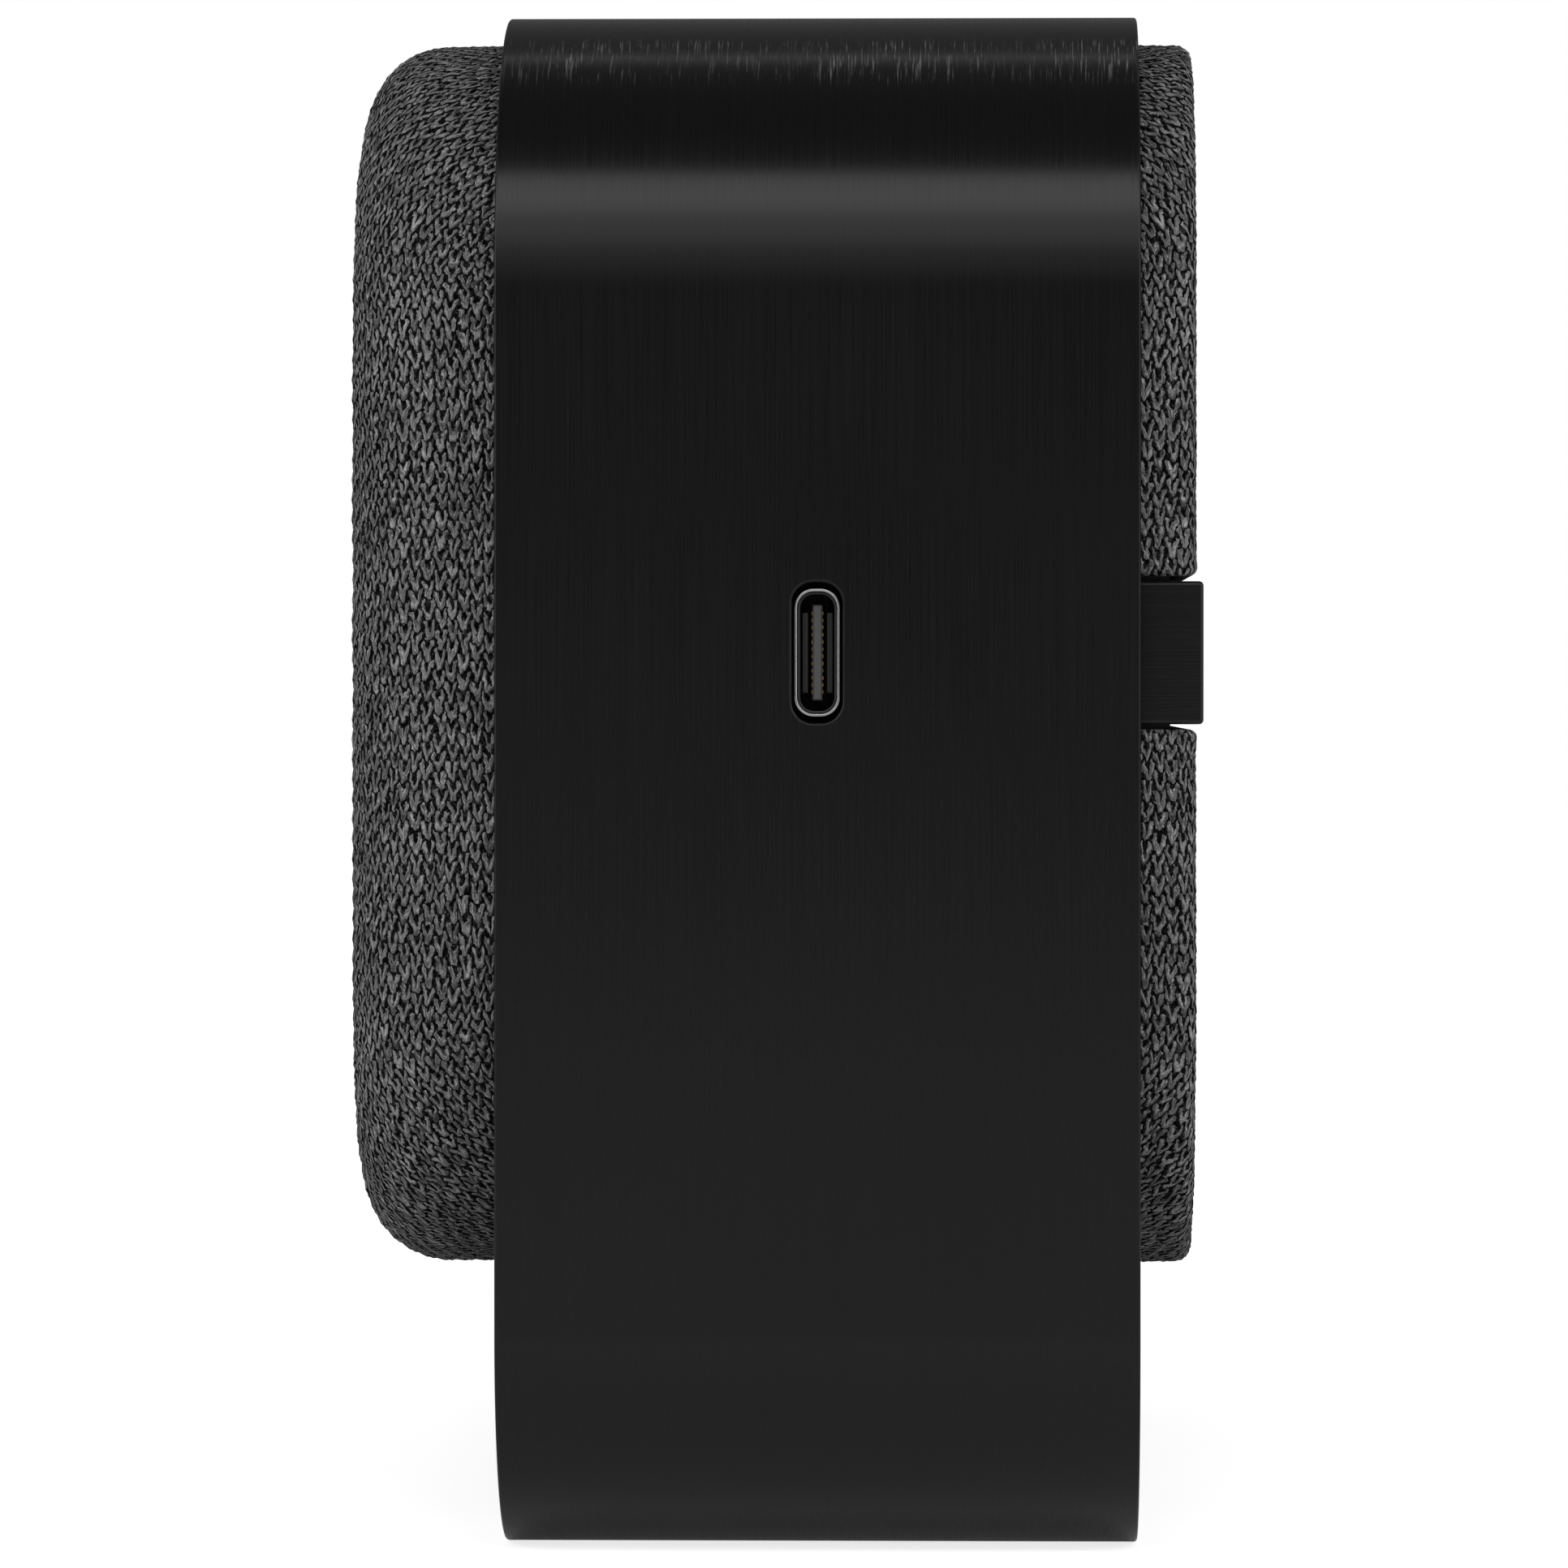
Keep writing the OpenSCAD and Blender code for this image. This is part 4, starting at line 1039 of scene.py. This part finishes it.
class HUB_OT_controls(bpy.types.Operator):
    """Make the mute slider, the pairing button and the status lens"""
    bl_idname = "hub.controls"
    bl_label = "Controls"

    def execute(self, context):
        middle_z = (SLIDER_LOW.z + SLIDER_HIGH.z) / 2
        floor = BAR_HIGH.y - context.scene.hub_bar.thickness
        self.slider(middle_z, floor)
        self.button(middle_z, floor)
        self.lens(middle_z)
        return {"FINISHED"}

    def slider(self, z, low):
        x = (SLIDER_LOW.x + SLIDER_HIGH.x) / 2
        top = SLIDER_HIGH.y
        knob = oblong("mute_knob", (x, (top + low) / 2, z), *KNOB, top - low)
        grooves = []
        for i in (-1, 0, 1):
            centre = x + i * 0.8 * MM
            grooves.append(block(
                "groove", (centre - 0.15 * MM, top - 0.22 * MM, z - 3 * MM),
                (centre + 0.15 * MM, top + MM, z + 3 * MM)))
        bevel(knob, all_at(1, top), 0.2 * MM, 3)
        cut(knob, *grooves)
        wing_top = SLIDER_LOW.y + 1.6 * MM
        stem = oblong("stem", (x, (wing_top + low) / 2, z), 1.8 * MM,
                      2.2 * MM, low - wing_top + 0.4 * MM, 32)
        wing = block(
            "wing", (SLIDER_LOW.x, wing_top - 0.4 * MM, SLIDER_LOW.z),
            (SLIDER_HIGH.x, wing_top, SLIDER_HIGH.z))
        bevel(wing, every, 0.08 * MM, 2)
        foot = block("foot", (x - 0.5 * MM, SLIDER_LOW.y, z - 0.5 * MM),
                     (x + 0.5 * MM, wing_top - 0.2 * MM, z + 0.5 * MM))
        bevel(foot, every, 0.08 * MM, 2)
        join(knob, stem, wing, foot)
        smooth(knob, 35)
        finish(knob, "control_plastic", "mute_key", ["mute_slider"])

    def button(self, z, floor):
        x = (BUTTON_LOW.x + BUTTON_HIGH.x) / 2
        top = BUTTON_HIGH.y
        low = floor + 0.35 * MM
        cap = rod("pair_cap", (x, (top + low) / 2, z), CAP, top - low, 64)
        bevel(cap, all_at(1, top), 0.18 * MM, 3)
        select(cap, "FACE", lambda p, n: n.y > 0.95 and len(p) > 8)
        for width, depth in ((0.28, 0.0), (0.35, -0.07), (0.4, -0.06),
                             (0.4, -0.04), (0.35, -0.02)):
            bpy.ops.mesh.inset(thickness=width * MM, depth=depth * MM)
        put_down()
        wing_top = BUTTON_LOW.y + 1.6 * MM
        stem = rod("stem", (x, (wing_top + low) / 2, z), 2.7 * MM,
                   low - wing_top + 0.4 * MM, 32)
        wing = rod("wing", (x, wing_top - 0.2 * MM, z), 4.4 * MM, 0.4 * MM)
        foot = rod("foot", (x, (BUTTON_LOW.y + wing_top) / 2 - 0.1 * MM, z),
                   1.6 * MM, wing_top - BUTTON_LOW.y - 0.2 * MM, 24)
        join(cap, stem, wing, foot)
        smooth(cap, 35)
        finish(cap, "control_plastic", "pair_key", ["pair_button"])

    def lens(self, z):
        x = (LENS_LOW.x + LENS_HIGH.x) / 2
        top, width = LENS_HIGH.y, LENS_HIGH.x - LENS_LOW.x
        lens = rod("light_window", (x, (top + LENS_LOW.y) / 2, z), width,
                   top - LENS_LOW.y, 40)
        bevel(lens, all_at(1, top), 0.16 * MM, 4)
        select(lens, "FACE", lambda p, n: n.y < -0.95 and len(p) > 8)
        bpy.ops.mesh.inset(thickness=0.15 * MM, depth=-0.1 * MM)
        put_down()
        smooth(lens, 40)
        finish(lens, "clear_lens", nodes=["status_lens"])


# ---- port ----

class HUB_OT_port(bpy.types.Operator):
    """Make the port's drawn steel shell and its tongue"""
    bl_idname = "hub.port"
    bl_label = "USB port"

    def execute(self, context):
        size = PORT_HIGH - PORT_LOW
        shell = rounded("port_shell", PORT_MID, size.y, size.z, size.x,
                        PORT_CORNER)
        hollow(shell, PORT_WALL, PORT_FLOOR - size.x)
        bevel(shell, all_at(0, PORT_HIGH.x), 0.07 * MM, 3)
        tidy_normals(shell)
        smooth(shell, 40)
        finish(shell, "port_steel", nodes=["usb_shell"])
        tongue = block("port_tongue", TONGUE_LOW, TONGUE_HIGH)
        bevel(tongue, lambda p, n: all(
            q.x > TONGUE_HIGH.x - 1e-6 for q in p), 0.18 * MM, 3)
        smooth(tongue, 40)
        finish(tongue, "tongue_plastic", nodes=["usb_tongue"])
        self.moulding_and_painted_shade(size)
        return {"FINISHED"}

    def moulding_and_painted_shade(self, size):
        """The black moulding inside the shell: its floor, a raised pad on each side
        of the tongue, and a thin black layer over the shell's steel walls, which is
        painted shade: a dark sheet where the deep port is only in shade."""
        room, painted_shade_wall = 0.02 * MM, 0.18 * MM
        back = PORT_LOW.x + PORT_FLOOR + room
        mouth = PORT_HIGH.x - 0.35 * MM
        inset = PORT_WALL + room
        moulding_and_painted_shade = rounded(
            "port_moulding_and_painted_shade", ((back + mouth) / 2, PORT_MID.y, PORT_MID.z),
            size.y - 2 * inset, size.z - 2 * inset, mouth - back,
            PORT_CORNER - inset)
        # the thin black layer over the steel walls: painted shade of the port's depth
        hollow(moulding_and_painted_shade, painted_shade_wall, back - mouth + 0.5 * MM)
        bevel(moulding_and_painted_shade, all_at(0, mouth), 0.05 * MM, 2)
        pads = []
        for side in (-1, 1):
            y = PORT_MID.y + side * 0.86 * MM
            pad = block("pad", (back + 0.3 * MM, y - 0.2 * MM,
                                PORT_MID.z - 2.8 * MM),
                        (TONGUE_HIGH.x - 0.5 * MM, y + 0.2 * MM,
                         PORT_MID.z + 2.8 * MM))
            bevel(pad, every, 0.05 * MM, 2)
            pads.append(pad)
        join(moulding_and_painted_shade, *pads)
        smooth(moulding_and_painted_shade, 40)
        finish(moulding_and_painted_shade, "shell_plastic")


class HUB_OT_finishes(bpy.types.Operator):
    """Give every CAD part that still shows its finish"""
    bl_idname = "hub.finishes"
    bl_label = "Finishes of the inner parts"

    def execute(self, context):
        for part in frame["record"]["subparts"]:
            obj = frame["nodes"][part["node"]]
            if obj.hide_render:
                continue
            for slot in obj.material_slots:
                slot.material = finish_of(part["material_slot"])
        return {"FINISHED"}


# ---- stage ----

# camera, and the point it looks at, on the port side
AIM = Vector((CAD_HIGH.x, 0.8 * MM, BODY_MID.z - 9.15 * MM))
CAMERA_ASIDE, CAMERA_UP = 14.4 * MM, 6.5 * MM
# azimuth from +X towards +Y, elevation from the floor past 90 to the far side,
# distance, width, height and radiance; the keys above the camera make the long
# reflection in the upper corners
LIGHTS = {
    "key_high": (0, 44.5, 1.3, 2.0, 0.34, 2.1),
    "key_middle": (0, 30.5, 1.3, 2.0, 0.30, 1.0),
    "key_low": (0, 18.5, 1.3, 2.0, 0.25, 0.3),
    "front_side": (-68, 20, 1.2, 0.7, 0.9, 1.9),
    "back_side": (68, 20, 1.2, 0.7, 0.9, 1.9),
    "overhead": (0, 112, 1.0, 1.2, 0.05, 1.1),
}


def aimed(name, data, place, target):
    """Puts a camera or a light at a place, turned towards the target."""
    obj = bpy.data.objects.new(name, data)
    bpy.context.scene.collection.objects.link(obj)
    obj.location = place
    obj.rotation_euler = (target - place).to_track_quat("-Z", "Y").to_euler()
    return obj


class HUB_OT_stage(bpy.types.Operator):
    """Set out the camera, the pale floor and the soft studio light"""
    bl_idname = "hub.stage"
    bl_label = "Stage"

    def execute(self, context):
        stage = context.scene.hub_stage
        self.camera(context, stage)
        self.floor(stage)
        self.world(context)
        for name, light in LIGHTS.items():
            self.softbox(name, *light)
        return {"FINISHED"}

    def camera(self, context, stage):
        data = bpy.data.cameras.new("camera")
        data.lens = stage.lens
        data.clip_start = 0.01
        data.dof.use_dof = False
        place = AIM + Vector((stage.distance, CAMERA_ASIDE, CAMERA_UP))
        context.scene.camera = aimed("camera", data, place, AIM)

    def floor(self, stage):
        put_down()
        bpy.ops.mesh.primitive_circle_add(
            vertices=96, radius=3.0, fill_type="NGON",
            location=(0, 0, CAD_LOW.z - 0.02 * MM))
        floor = settle(named("floor"))
        n = surface("pale floor", Roughness=0.7)
        place = n.place()
        speck = n.noise(place, 60.0, 3.0)
        base = n.blend(n.range(speck, 0.3, 0.7), rgba(stage.floor, 0.985),
                       rgba(stage.floor, 1.015))
        away = n.add("VectorMath", {0: place}, operation="LENGTH")
        glow = n.range(away.outputs["Value"], 0.08, 0.45, 0.70, 1.0, True)
        seen = n.add("LightPath").outputs["Is Camera Ray"]
        glow = n.plus(n.times(glow, seen), 0.08)
        floor.data.materials.append(n.finish(
            Base_Color=base, Emission_Color=(1, 1, 1, 1),
            Emission_Strength=glow))

    def world(self, context):
        n = Nodes(bpy.data.worlds.new("studio"), "Background",
                  Color=(1, 1, 1, 1))
        context.scene.world = n.owner
        x = n.split(n.add("TexCoord").outputs["Generated"])[0]
        shade = n.range(x, 0.25, -0.75, 0.06, 0.13, soft=True)
        seen = n.add("LightPath").outputs["Is Camera Ray"]
        mix = n.add("Mix", {"Factor": seen, 2: shade, 3: 1.0},
                    data_type="FLOAT")
        n.finish(Strength=mix.outputs[0])
        context.scene.view_settings.view_transform = "Standard"

    def softbox(self, name, azimuth, elevation, distance, width, height,
                radiance):
        """A rectangular light facing the body."""
        around, up = math.radians(azimuth), math.radians(elevation)
        place = BODY_MID + distance * Vector((
            math.cos(up) * math.cos(around), math.cos(up) * math.sin(around),
            math.sin(up)))
        data = bpy.data.lights.new(name, "AREA")
        data.shape = "RECTANGLE"
        data.size, data.size_y = width, height
        data.energy = radiance * math.pi * width * height
        aimed(name, data, place, BODY_MID)


# ---- the add-on ----

OPERATORS = (HUB_OT_stage, HUB_OT_band, HUB_OT_knit, HUB_OT_bar,
             HUB_OT_controls, HUB_OT_port, HUB_OT_finishes)
SETTINGS = {"hub_band": BandSettings, "hub_knit": KnitSettings,
            "hub_bar": BarSettings, "hub_stage": StageSettings}


class HUB_PT_panel(bpy.types.Panel):
    """Lists the steps and the sizes"""
    bl_idname = "HUB_PT_panel"
    bl_label = "Home hub"
    bl_space_type = "VIEW_3D"
    bl_region_type = "UI"
    bl_category = "Home hub"

    def draw(self, context):
        for step in OPERATORS:
            self.layout.operator(step.bl_idname)
        for name, group in SETTINGS.items():
            box = self.layout.box()
            for key in group.__annotations__:
                box.prop(getattr(context.scene, name), key)


CLASSES = (*SETTINGS.values(), *OPERATORS, HUB_PT_panel)


def register():
    for cls in CLASSES:
        bpy.utils.register_class(cls)
    for name, group in SETTINGS.items():
        setattr(bpy.types.Scene, name, PointerProperty(type=group))


def unregister():
    for name in SETTINGS:
        delattr(bpy.types.Scene, name)
    for cls in reversed(CLASSES):
        bpy.utils.unregister_class(cls)


def main():
    register()
    for step in OPERATORS:
        getattr(bpy.ops.hub, step.bl_idname.split(".")[1])()


if __name__ == "__main__":
    main()
